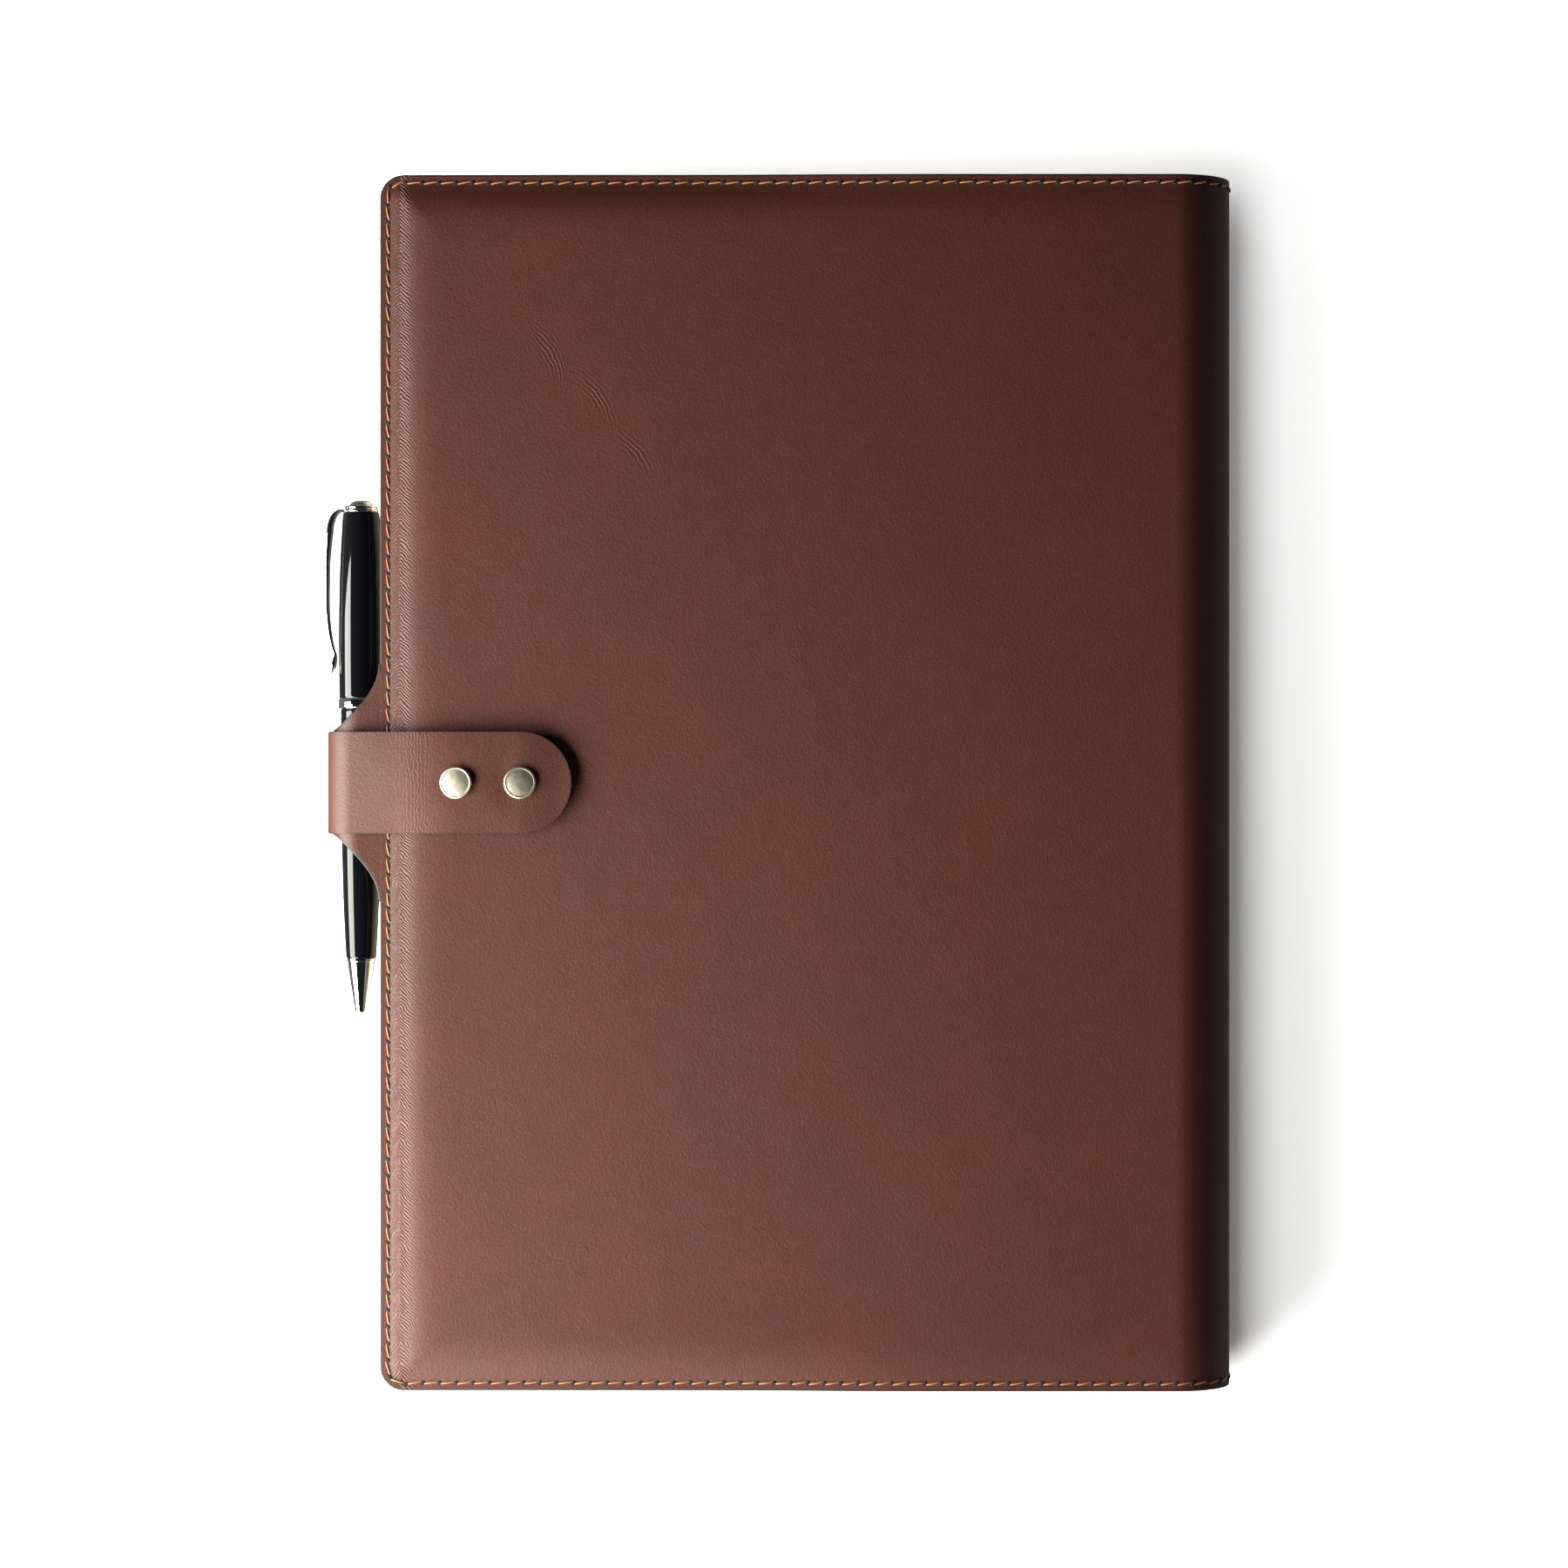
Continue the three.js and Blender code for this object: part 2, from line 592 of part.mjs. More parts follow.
addPiece(spine, 'leather_spine', spineLayer(0, LEATHER), 'hide');
addPiece(spine, 'lining_spine', spineLayer(LINING_FROM, LINING_FROM + LINING), 'lining');
const SPINE_BOARD_END = HALF_LENGTH - BOARD_INSET - 0.5;
addPiece(spine, 'board_spine',
  spineLayer(BOARD_FROM, BOARD_FROM + 1, [-SPINE_BOARD_END, SPINE_BOARD_END]), 'board');
const SEAM_Y = [HALF_LENGTH - STITCH_INSET - THREAD / 2, HALF_LENGTH - STITCH_INSET + THREAD / 2];
addPiece(spine, 'thread_spine_head', spineLayer(-0.3, -0.05, SEAM_Y), 'thread');
addPiece(spine, 'thread_spine_tail',
  spineLayer(-0.3, -0.05, SEAM_Y.map((y) => -y).reverse()), 'thread');

addPiece(upperPanel, 'pen_loop', toGeometry(penLoop()), 'hide');
SNAPS.forEach((x, i) => {
  addPiece(upperPanel, `snap_stud_${i + 1}`, snapStud(), 'nickel').position.x = x;
  addPiece(upperPanel, `snap_rivet_${i + 1}`, snapRivet(), 'nickel').position.x = x;
  addPiece(strap, `snap_cap_${i + 1}`, snapCap(), 'nickel').position.x = x;
  addPiece(strap, `snap_socket_${i + 1}`, snapSocket(), 'nickel').position.x = x;
});

for (const [name, solid] of Object.entries(strapPieces())) {
  addPiece(strap, name, toGeometry(solid), 'hide');
}

addPiece(pen, 'pen_finial', penFinial(), 'chrome');
addPiece(pen, 'pen_clip_collar', clipCollar(), 'chrome');
addPiece(pen, 'pen_clip', clipArm(), 'chrome');
addPiece(pen, 'pen_barrel_upper', penUpperBarrel(), 'lacquer');
addPiece(pen, 'pen_ring', penRing(), 'chrome');
addPiece(pen, 'pen_barrel_lower', penLowerBarrel(), 'lacquer');
addPiece(pen, 'pen_nose', penNose(), 'chrome');
addPiece(pen, 'pen_refill', penRefill(), 'brass');

export default cover;
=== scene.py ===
# %% [markdown]
# # A leather notebook cover
#
# The real object is one brown hide wrapped round a hardback notebook. It is lined with
# thin leather, sewn all round with waxed thread, and it carries a pen in a loop at the
# fore-edge. A strap comes up round the loop and closes on two press studs.
#
# A CAD model of it is loaded first. It holds every size and every moving part, so this
# lesson only makes what the eye sees, and puts each piece on the body that moves it.

# %% Load the CAD model as a fixed frame
import math

import bpy
import numpy as np
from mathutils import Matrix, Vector
from mathutils.kdtree import KDTree


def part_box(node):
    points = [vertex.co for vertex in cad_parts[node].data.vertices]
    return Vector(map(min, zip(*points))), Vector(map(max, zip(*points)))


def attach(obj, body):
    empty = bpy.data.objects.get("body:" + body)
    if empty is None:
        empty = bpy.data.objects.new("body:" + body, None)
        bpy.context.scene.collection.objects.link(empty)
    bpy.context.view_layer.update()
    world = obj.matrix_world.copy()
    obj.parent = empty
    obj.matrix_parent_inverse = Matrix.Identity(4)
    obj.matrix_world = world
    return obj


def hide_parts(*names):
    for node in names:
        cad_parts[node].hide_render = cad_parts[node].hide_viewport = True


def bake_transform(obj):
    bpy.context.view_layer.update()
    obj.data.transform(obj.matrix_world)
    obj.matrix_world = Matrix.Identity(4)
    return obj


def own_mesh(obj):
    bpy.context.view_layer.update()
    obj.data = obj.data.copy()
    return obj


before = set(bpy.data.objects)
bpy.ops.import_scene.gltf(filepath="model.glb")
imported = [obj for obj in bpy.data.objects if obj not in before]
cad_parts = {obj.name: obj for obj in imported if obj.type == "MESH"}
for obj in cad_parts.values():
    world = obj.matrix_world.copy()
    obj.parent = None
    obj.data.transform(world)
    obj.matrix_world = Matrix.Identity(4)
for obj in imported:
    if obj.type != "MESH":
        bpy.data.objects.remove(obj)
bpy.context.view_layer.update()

MM = 0.001

# %% [markdown]
# ## Sizes from the frame
#
# The pieces are modelled in millimetres and turned to metres when a mesh is made. Where
# things are comes from the boxes of the CAD nodes. What a box can't say, such as how
# thick a hide is, is a named value here.

# %% Read where things are


def box_mm(node):
    """Lowest and highest corner of a CAD node, in millimetres."""
    low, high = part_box(node)
    return low / MM, high / MM


hide_low, hide_high = box_mm("leather_upper")
FORE_EDGE, SPINE_SEAM = hide_low.x, hide_high.x
HALF_LENGTH, THICKNESS = hide_high.y, hide_high.z
SPINE_BULGE = box_mm("leather_spine")[1].x - SPINE_SEAM
ring_low, ring_high = box_mm("pen_ring")
PEN_X, PEN_Z = (ring_low.x + ring_high.x) / 2, (ring_low.z + ring_high.z) / 2
SNAPS = [(box_mm(f"snap_cap_{n}")[0] + box_mm(f"snap_cap_{n}")[1]) / 2 for n in (1, 2)]
STRAP_END, STRAP_TOP = box_mm("strap_flap")[1].x, box_mm("strap_flap")[1].z
STRAP_HALF = box_mm("strap_flap")[1].y
print("cover", round(SPINE_SEAM - FORE_EDGE, 1), "x", round(2 * HALF_LENGTH, 1), "mm")
print("pen at x", round(PEN_X, 2))

# %% Sizes of the leather and what it wraps
LEATHER, LINING = 1.3, 0.5
LOOP_LEATHER, STRAP_LEATHER = 1.2, 1.4
CORNER_RADIUS = 6.3
MARGIN_DROP, SPINE_END_DROP = 2.5, 0.9      # how far the sewn margin lies below the board
SLOPE_FOOT, SLOPE_LENGTH = 2.0, 5.2         # where the margin starts to rise, and how softly
POCKET_EDGE = box_mm("pocket_upper")[1].x
STITCH_INSET, STITCH_PITCH = 2.1, 4.35
print("hide", LEATHER, "mm thick, stitches", STITCH_PITCH, "mm apart")

# %% [markdown]
# ## Colour and node helpers
#
# Colours are written as the hex values that a paint program shows. Blender's shaders
# want linear light, so one function converts them. One more adds any node with its
# settings and links, which keeps every material below short. Sums are Math nodes, and the
# settings of the four common ones have names.

# %% Colour and node helpers


def linear(hex_colour, alpha=1.0):
    """An sRGB hex colour as linear RGBA."""
    channels = [int(hex_colour[i:i + 2], 16) / 255 for i in (1, 3, 5)]
    rgb = [c / 12.92 if c <= 0.04045 else ((c + 0.055) / 1.055) ** 2.4 for c in channels]
    return (*rgb, alpha)


def output_of(source):
    """A node stands for its first output."""
    return source.outputs[0] if isinstance(source, bpy.types.Node) else source


def add_node(tree, kind, settings=None, *terms, **links):
    """Adds a node. settings are its properties or the values of its inputs. terms are numbers,
    sockets or nodes for its inputs in order. links are inputs to join, by name, with _ for a
    space, and a number after two underscores for the n-th."""
    node = tree.nodes.new(kind)
    for key, value in (settings or {}).items():
        if isinstance(key, int) or key in node.inputs:
            node.inputs[key].default_value = value
        else:
            setattr(node, key, value)
    for socket, term in zip(node.inputs, terms):
        if isinstance(term, (int, float)):
            socket.default_value = term
        else:
            tree.links.new(socket, output_of(term))
    for key, source in links.items():
        name, _, number = key.partition("__")
        socket = node.inputs[int(number)] if number else node.inputs[name.replace("_", " ")]
        tree.links.new(socket, output_of(source))
    return node


def new_material(name):
    """An empty material and its tree, with a Principled shader joined to the output."""
    material = bpy.data.materials.new(name)
    material.use_nodes = True
    tree = material.node_tree
    tree.nodes.clear()
    shader = add_node(tree, "ShaderNodeBsdfPrincipled")
    add_node(tree, "ShaderNodeOutputMaterial", Surface=shader)
    return material, tree, shader


MATH = "ShaderNodeMath"
PLUS, MINUS = {"operation": "ADD"}, {"operation": "SUBTRACT"}
TIMES, OVER = {"operation": "MULTIPLY"}, {"operation": "DIVIDE"}
print("white is", linear("#ffffff"))

# %% [markdown]
# ## The brown hide
#
# The cover is vegetable-tanned leather, dyed through, waxed and polished. That gives a
# warm red-brown with soft cloudy changes of tone, a fine pebbled grain with pores a few
# tenths of a millimetre wide, and a broad satin sheen in place of a sharp highlight. Cut
# edges are stained and rubbed down, so they are darker.
#
# Every leather piece carries a UV map of where it lay in the flat hide, in metres, so the
# grain follows the leather round the spine, the loop and the strap.

# %% Satin leather


def scaled(tree, vector, size_mm, kind="ShaderNodeTexNoise", **settings):
    """A texture whose features are size_mm across."""
    values = {"Scale": 1 / (size_mm * MM), **settings}
    return add_node(tree, kind, values, Vector=vector)


CLOUD_SIZE, SPECKLE_SIZE, GLOSS_SIZE = 38, 0.9, 5       # mm across
SPECKLE_SHARE, PEBBLE_SHARE = 0.24, 0.8     # how much each adds to the noise it goes with
PORE_SHARE = 0.45           # a pore's size, as a share of a pebble's
TONE_STOPS = (0.40, 0.62, 0.86)             # where on the noise the three tones lie
EDGE_STAIN = "#24110c"
WAX_SHEEN = 0.56            # a waxed face shines a little more than plain leather
ROUGHNESS_SPREAD = 0.05     # how far the polish varies to each side


def make_leather(name, tones, roughness, grain_mm, grain_depth):
    """Leather with cloudy tone, speckle, pores and pebble grain. tones go from dark to light."""
    material, tree, shader = new_material(name)
    flat = add_node(tree, "ShaderNodeUVMap", {"uv_map": "flat"}).outputs["UV"]
    cloud = scaled(tree, flat, CLOUD_SIZE, Detail=3.0, Roughness=0.55)
    speckle = scaled(tree, flat, SPECKLE_SIZE, Detail=4.0, Roughness=0.65)
    tone = add_node(tree, MATH, {"operation": "MULTIPLY_ADD"},
                    speckle.outputs["Fac"], SPECKLE_SHARE, cloud.outputs["Fac"])
    ramp = add_node(tree, "ShaderNodeValToRGB", None, tone)
    dark, middle, light = TONE_STOPS
    ramp.color_ramp.elements[0].position = dark
    ramp.color_ramp.elements[0].color = linear(tones[0])
    ramp.color_ramp.elements[1].position = light
    ramp.color_ramp.elements[1].color = linear(tones[2])
    ramp.color_ramp.elements.new(middle).color = linear(tones[1])
    edge = add_node(tree, "ShaderNodeAttribute", {"attribute_name": "edge"})
    stained = add_node(tree, "ShaderNodeMix", {"data_type": "RGBA", 7: linear(EDGE_STAIN)},
                       edge.outputs["Fac"], __6=ramp.outputs["Color"])
    tree.links.new(shader.inputs["Base Color"], stained.outputs[2])
    shader.inputs["Specular IOR Level"].default_value = WAX_SHEEN
    gloss = scaled(tree, flat, GLOSS_SIZE, Detail=2.0)
    rough = add_node(tree, "ShaderNodeMapRange", {
        3: roughness - ROUGHNESS_SPREAD, 4: roughness + ROUGHNESS_SPREAD}, gloss.outputs["Fac"])
    tree.links.new(shader.inputs["Roughness"], rough.outputs[0])
    pebble = scaled(tree, flat, grain_mm, "ShaderNodeTexVoronoi", feature="SMOOTH_F1", Smoothness=0.6)
    pores = scaled(tree, flat, grain_mm * PORE_SHARE, Detail=3.0, Roughness=0.7)
    grain = add_node(tree, MATH, {"operation": "MULTIPLY_ADD"},
                     pebble.outputs["Distance"], PEBBLE_SHARE, pores.outputs["Fac"])
    fine = add_node(tree, "ShaderNodeBump", {"Strength": 1.0, "Distance": grain_depth * MM}, Height=grain)
    return material, tree, shader, flat, fine


HIDE_ROUGHNESS, HIDE_GRAIN, HIDE_GRAIN_DEPTH = 0.55, 0.6, 0.05
hide, hide_tree, hide_shader, hide_flat, hide_grain = make_leather(
    "brown_vegetable_tanned_leather", ("#42180e", "#45180d", "#4a1a0c"),
    HIDE_ROUGHNESS, HIDE_GRAIN, HIDE_GRAIN_DEPTH)
print("hide:", hide.name)

# %% [markdown]
# ### Creases in the hide
#
# Where leather bends it wrinkles. Over the edge of the board the wrinkles run slantwise,
# like a herringbone, about a millimetre apart. The strap has upright flex lines where it
# starts to lift. They are far too shallow to be worth modelling, so they are bump, each
# kept to its own place by a smooth mask.

# %% Creases in the hide


def axes_in_mm(tree, vector):
    """The three coordinates of a position, in millimetres."""
    in_mm = add_node(tree, "ShaderNodeVectorMath", {"operation": "SCALE", "Scale": 1 / MM}, vector)
    return add_node(tree, "ShaderNodeSeparateXYZ", None, in_mm).outputs


def joined(tree, settings, first, *others):
    """Several values added, or several multiplied, one after another."""
    for other in others:
        first = add_node(tree, MATH, settings, first, other)
    return first


def bell(tree, value, centre, width):
    """1 at centre, falling smoothly to about 0 beyond width."""
    off = add_node(tree, MATH, OVER, add_node(tree, MATH, MINUS, value, centre), width)
    return add_node(tree, MATH, {"operation": "POWER"}, math.e, joined(tree, TIMES, off, off, -2.0))


def ripple(tree, phase, pitch_mm):
    """A sine wave with one crest for each pitch_mm of phase."""
    return add_node(tree, MATH, {"operation": "SINE"}, joined(tree, TIMES, phase, 2 * math.pi / pitch_mm))


HERRING_PITCH, HERRING_HALF, HERRING_DEPTH = 0.98, 3.4, 0.075       # mm
HERRING_WANDER = 2.6        # how far a crease strays from its straight line, mm
WANDER_SIZE = 3.5           # and over what length it does so, mm
hide_x, hide_y = axes_in_mm(hide_tree, hide_flat)[:2]
wander = scaled(hide_tree, hide_flat, WANDER_SIZE, Detail=2.0).outputs["Fac"]
slope_centre = FORE_EDGE + SLOPE_FOOT + HERRING_HALF
from_centre = add_node(hide_tree, MATH, MINUS, hide_x, slope_centre)
lean = add_node(hide_tree, MATH, {"operation": "ABSOLUTE"}, from_centre)
stray = joined(hide_tree, TIMES, wander, HERRING_WANDER)
herringbone = joined(
    hide_tree, TIMES,
    ripple(hide_tree, joined(hide_tree, PLUS, hide_y, lean, stray), HERRING_PITCH),
    bell(hide_tree, hide_x, slope_centre, HERRING_HALF))
print("herringbone creases centred at x", round(slope_centre, 1))

# %% [markdown]
# A few old creases lie above the middle of the panel, in short, curved bundles. Each is a
# ripple across a slanted line, seen only inside a small oval.

# %% Old creases on the panel
CREASE_BOW = 0.03           # how much a crease curves, per mm
CREASE_WANDER, CREASE_DEPTH = 1.6, 0.035    # mm


def crease_bundle(x, y, angle, length, width, pitch_mm):
    """A bundle of fine parallel creases round one place in the flat hide."""
    c, s = math.cos(math.radians(angle)), math.sin(math.radians(angle))
    dx = add_node(hide_tree, MATH, MINUS, hide_x, x)
    dy = add_node(hide_tree, MATH, MINUS, hide_y, y)
    along = joined(hide_tree, PLUS, joined(hide_tree, TIMES, dx, c), joined(hide_tree, TIMES, dy, s))
    beside = joined(hide_tree, PLUS, joined(hide_tree, TIMES, dx, -s), joined(hide_tree, TIMES, dy, c))
    bow = joined(hide_tree, TIMES, along, along, CREASE_BOW)
    line = joined(hide_tree, PLUS, beside, bow, joined(hide_tree, TIMES, wander, CREASE_WANDER))
    mask = joined(hide_tree, TIMES, bell(hide_tree, along, 0, length), bell(hide_tree, beside, 0, width))
    return joined(hide_tree, TIMES, ripple(hide_tree, line, pitch_mm), mask)


old_creases = joined(
    hide_tree, PLUS,
    crease_bundle(-59, 111, -62, 11, 3.2, 1.0),
    crease_bundle(-47, 100, -55, 9, 3.0, 1.1),
    crease_bundle(-37, 86, -50, 8, 2.6, 1.2))
print("old creases added")

# %% Join the creases to the hide's grain
crease_height = joined(
    hide_tree, PLUS,
    joined(hide_tree, TIMES, herringbone, HERRING_DEPTH),
    joined(hide_tree, TIMES, old_creases, CREASE_DEPTH))
hide_bump = add_node(hide_tree, "ShaderNodeBump", {"Strength": 1.0, "Distance": MM},
                     Height=crease_height, Normal=hide_grain)
hide_tree.links.new(hide_shader.inputs["Normal"], hide_bump.outputs[0])

strap_hide, strap_tree, strap_shader, strap_flat, strap_grain = make_leather(
    "brown_strap_leather", ("#401a0e", "#461c0e", "#4d1f0f"), HIDE_ROUGHNESS, HIDE_GRAIN, HIDE_GRAIN_DEPTH)
lining_leather, lining_tree, lining_shader, _, lining_grain = make_leather(
    "tan_split_leather", ("#5e4530", "#6c5139", "#7a5e44"), 0.78, 0.5, 0.03)
lining_tree.links.new(lining_shader.inputs["Normal"], lining_grain.outputs[0])
print("materials so far:", [m.name for m in bpy.data.materials])

# %% [markdown]
# ## Thread, metal, lacquer, paper and book cloth
#
# Waxed linen thread is matt with a waxy glint. The press studs are nickel plate, polished
# and then dulled by handling, which is a soft, warm grey mirror. The pen is black lacquer
# over brass, with chromed fittings: the lacquer is nearly black and very smooth, so it
# shows only its reflections, and chrome is a neutral mirror.

# %% Thread


def make_simple(name, colour, roughness, grain_mm, metallic=0.0, depth_mm=0.0, colour_two=None):
    """A plain finish with fine noise in its tone, its polish and its surface."""
    material, tree, shader = new_material(name)
    place = add_node(tree, "ShaderNodeTexCoord").outputs["Object"]
    shader.inputs["Metallic"].default_value = metallic
    cloud = scaled(tree, place, grain_mm, Detail=3.0)
    tone = add_node(tree, "ShaderNodeMix", {
        "data_type": "RGBA", 6: linear(colour), 7: linear(colour_two or colour)}, cloud.outputs["Fac"])
    tree.links.new(shader.inputs["Base Color"], tone.outputs[2])
    rough = add_node(tree, "ShaderNodeMapRange", {3: roughness * 0.85, 4: roughness * 1.15},
                     cloud.outputs["Fac"])
    tree.links.new(shader.inputs["Roughness"], rough.outputs[0])
    if depth_mm:
        bump = add_node(tree, "ShaderNodeBump", {"Strength": 1.0, "Distance": depth_mm * MM},
                        Height=cloud.outputs["Fac"])
        tree.links.new(shader.inputs["Normal"], bump.outputs[0])
    return material


thread = make_simple("waxed_linen_thread", "#84573a", 0.5, 0.3, depth_mm=0.06, colour_two="#ad7f59")
# This near-black finish is painted shade for the inside of an awl hole, which isn't modelled.
painted_hole_shade = make_simple("painted_hole_shade", "#120806", 0.8, 0.4)
print("thread and holes ready")

# %% Metals
nickel = make_simple("polished_nickel", "#cdc5b2", 0.38, 1.2, metallic=1.0, colour_two="#e2dccc")
chrome = make_simple("polished_chrome", "#e9ebec", 0.05, 2.0, metallic=1.0, colour_two="#dfe2e4")
brass = make_simple("drawn_brass", "#c49a4e", 0.28, 0.8, metallic=1.0, colour_two="#d6b06a")
print("metals ready")

# %% Lacquer
lacquer = make_simple("black_lacquer", "#08090c", 0.05, 2.5, colour_two="#0b0c10")
LACQUER_IOR = 1.4
lacquer.node_tree.nodes["Principled BSDF"].inputs["IOR"].default_value = LACQUER_IOR
print("lacquer ready")

# %% [markdown]
# Paper and book cloth each have a pattern at its real size. A trimmed block of paper
# shows each sheet's edge, a tenth of a millimetre thick, and a sheet is ruled every
# 8 mm. Book cloth is a plain weave of threads about half a millimetre apart.

# %% Paper
PAGE_THICKNESS = 0.3        # three times the real sheet, so that it shows
RULING = 8.0                # mm
LINE_SHARE, LINE_STRENGTH = 0.03, 0.6       # a line's share of the ruling, and its strength
LEAF_RELIEF = 0.05
paper, paper_tree, paper_shader = new_material("cream_writing_paper")
paper_place = add_node(paper_tree, "ShaderNodeTexCoord").outputs["Object"]
_, paper_y, paper_z = axes_in_mm(paper_tree, paper_place)
up = add_node(paper_tree, "ShaderNodeNewGeometry").outputs["True Normal"]
up_axes = add_node(paper_tree, "ShaderNodeSeparateXYZ", None, up)
is_top = add_node(paper_tree, MATH, {"operation": "GREATER_THAN"}, up_axes.outputs["Z"], 0.9)
rulings = add_node(paper_tree, MATH, OVER, paper_y, RULING)
line_phase = add_node(paper_tree, MATH, {"operation": "FRACT"}, rulings)
on_line = add_node(paper_tree, MATH, {"operation": "LESS_THAN"}, line_phase, LINE_SHARE)
ruled = joined(paper_tree, TIMES, on_line, is_top, LINE_STRENGTH)
fibre = scaled(paper_tree, paper_place, 1.5, Detail=4.0)
sheet_colour = add_node(paper_tree, "ShaderNodeMix", {
    "data_type": "RGBA", 6: linear("#cdc3aa"), 7: linear("#ddd4bd")}, fibre.outputs["Fac"])
line_colour = add_node(paper_tree, "ShaderNodeMix", {"data_type": "RGBA", 7: linear("#8397a8")},
                       ruled, __6=sheet_colour.outputs[2])
paper_tree.links.new(paper_shader.inputs["Base Color"], line_colour.outputs[2])
paper_shader.inputs["Roughness"].default_value = 0.85
is_side = add_node(paper_tree, MATH, MINUS, 1.0, is_top)
leaves = joined(paper_tree, TIMES, ripple(paper_tree, paper_z, PAGE_THICKNESS), is_side)
paper_bump = add_node(paper_tree, "ShaderNodeBump", {"Strength": 1.0, "Distance": LEAF_RELIEF * MM},
                      Height=leaves)
paper_tree.links.new(paper_shader.inputs["Normal"], paper_bump.outputs[0])
print("paper ready")

# %% Book cloth
WEAVE, WEAVE_RELIEF = 0.55, 0.06
cloth, cloth_tree, cloth_shader = new_material("charcoal_book_cloth")
cloth_place = add_node(cloth_tree, "ShaderNodeTexCoord").outputs["Object"]
cloth_x, cloth_y, _ = axes_in_mm(cloth_tree, cloth_place)
weave = joined(cloth_tree, TIMES, ripple(cloth_tree, cloth_x, WEAVE), ripple(cloth_tree, cloth_y, WEAVE))
slub = scaled(cloth_tree, cloth_place, 4, Detail=3.0)
cloth_colour = add_node(cloth_tree, "ShaderNodeMix", {
    "data_type": "RGBA", 6: linear("#202329"), 7: linear("#30343c")}, slub.outputs["Fac"])
cloth_tree.links.new(cloth_shader.inputs["Base Color"], cloth_colour.outputs[2])
cloth_shader.inputs["Roughness"].default_value = 0.8
cloth_bump = add_node(cloth_tree, "ShaderNodeBump", {"Strength": 1.0, "Distance": WEAVE_RELIEF * MM},
                      Height=weave)
cloth_tree.links.new(cloth_shader.inputs["Normal"], cloth_bump.outputs[0])
print("book cloth ready")

# %% [markdown]
# ## Making a mesh
#
# Two helpers serve every piece. One turns points in millimetres into a mesh object. The
# other hides the CAD nodes that a finished piece stands for. Two more keep real corners
# sharp and join several shapes in one.

# %% Mesh helpers


def make_object(name, points, faces, materials, uv=None, edge=None):
    """A smooth-shaded mesh object from points in mm. uv is one flat position for each point."""
    mesh = bpy.data.meshes.new(name)
    mesh.from_pydata((np.asarray(points) * MM).tolist(), [], [list(map(int, f)) for f in faces])
    for material in materials:
        mesh.materials.append(material)
    if uv is not None:
        corners = np.zeros(len(mesh.loops), np.int32)
        mesh.loops.foreach_get("vertex_index", corners)
        layer = mesh.uv_layers.new(name="flat")
        layer.data.foreach_set("uv", (np.asarray(uv)[corners] * MM).astype(np.float32).ravel())
    if edge is not None:
        attribute = mesh.attributes.new("edge", "FLOAT", "POINT")
        attribute.data.foreach_set("value", np.asarray(edge, np.float32))
    mesh.polygons.foreach_set("use_smooth", np.ones(len(mesh.polygons), bool))
    mesh.update()
    piece = bpy.data.objects.new(name, mesh)
    bpy.context.scene.collection.objects.link(piece)
    return piece


def stand_for(piece, slot, *nodes):
    """Says what a piece replaces, and hides those CAD nodes. slot is not used."""
    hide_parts(*nodes)
    print(f"{piece.name}: {len(piece.data.vertices)} vertices, for {', '.join(nodes)}")
    return piece


def crisp_edges(piece, angle=38):
    """Keeps real corners sharp while curves stay smooth."""
    piece.data.set_sharp_from_angle(angle=math.radians(angle))


def join_meshes(parts):
    """Several (points, faces) as one."""
    points, faces, start = [], [], 0
    for part_points, part_faces in parts:
        points.append(np.asarray(part_points, float))
        faces += [[i + start for i in face] for face in part_faces]
        start += len(part_points)
    return np.concatenate(points), faces

# %% [markdown]
# ## Cutting leather
#
# A leather piece starts as a flat sheet with a neat outline, as a maker cuts it. Its mesh
# is a grid over that outline. A function then places every point of the sheet in space,
# by how deep it lies in the thickness, and a rim with eased corners closes the edge. The
# same routine makes the hide, its lining, the pen loop and the strap.

# %% Grids
RIM = [(0, 0), (0.55, 0.04), (0.87, 0.14), (1, 0.32), (1, 0.68), (0.87, 0.86), (0.55, 0.96), (0, 1)]
EASE = 0.3                  # how far the rim's corners are eased back, mm
STAIN = 0.5                 # how far the stain of the cut edge runs on to the face, mm


def graded(start, end, fine, coarse, reach, both_ends=False):
    """Stations from start to end, close together at the start and wider past reach."""
    values = [0.0]
    length = abs(end - start)
    while values[-1] < length:
        here = min(values[-1], length - values[-1]) if both_ends else values[-1]
        share = min(1.0, max(here, 0.0) / reach)
        values.append(values[-1] + fine + (coarse - fine) * share ** 2)
    values = np.array(values) * (length / values[-1])
    return start + values * np.sign(end - start)


def grid_faces(rows, columns):
    """Quads over a grid of points stored row by row."""
    return [
        (i * columns + j, (i + 1) * columns + j, (i + 1) * columns + j + 1, i * columns + j + 1)
        for i in range(rows - 1) for j in range(columns - 1)
    ]


def round_corner(across, along, radius):
    """Moves points of a square corner on to a quarter disc of the same radius."""
    limit = 2 * radius ** 2
    return (across * np.sqrt(1 - along ** 2 / limit), along * np.sqrt(1 - across ** 2 / limit))


print("stations of a panel:", len(graded(0, 200, 0.22, 4, 30)))

# %% Close a sheet


def outline_of(faces):
    """The border of a sheet of faces, as one loop of point numbers, anticlockwise."""
    sides = {(f[k], f[(k + 1) % len(f)]) for f in faces for k in range(len(f))}
    following = {a: b for a, b in sides if (b, a) not in sides}
    loop = [min(following)]
    while following[loop[-1]] != loop[0]:
        loop.append(following[loop[-1]])
    return np.array(loop)


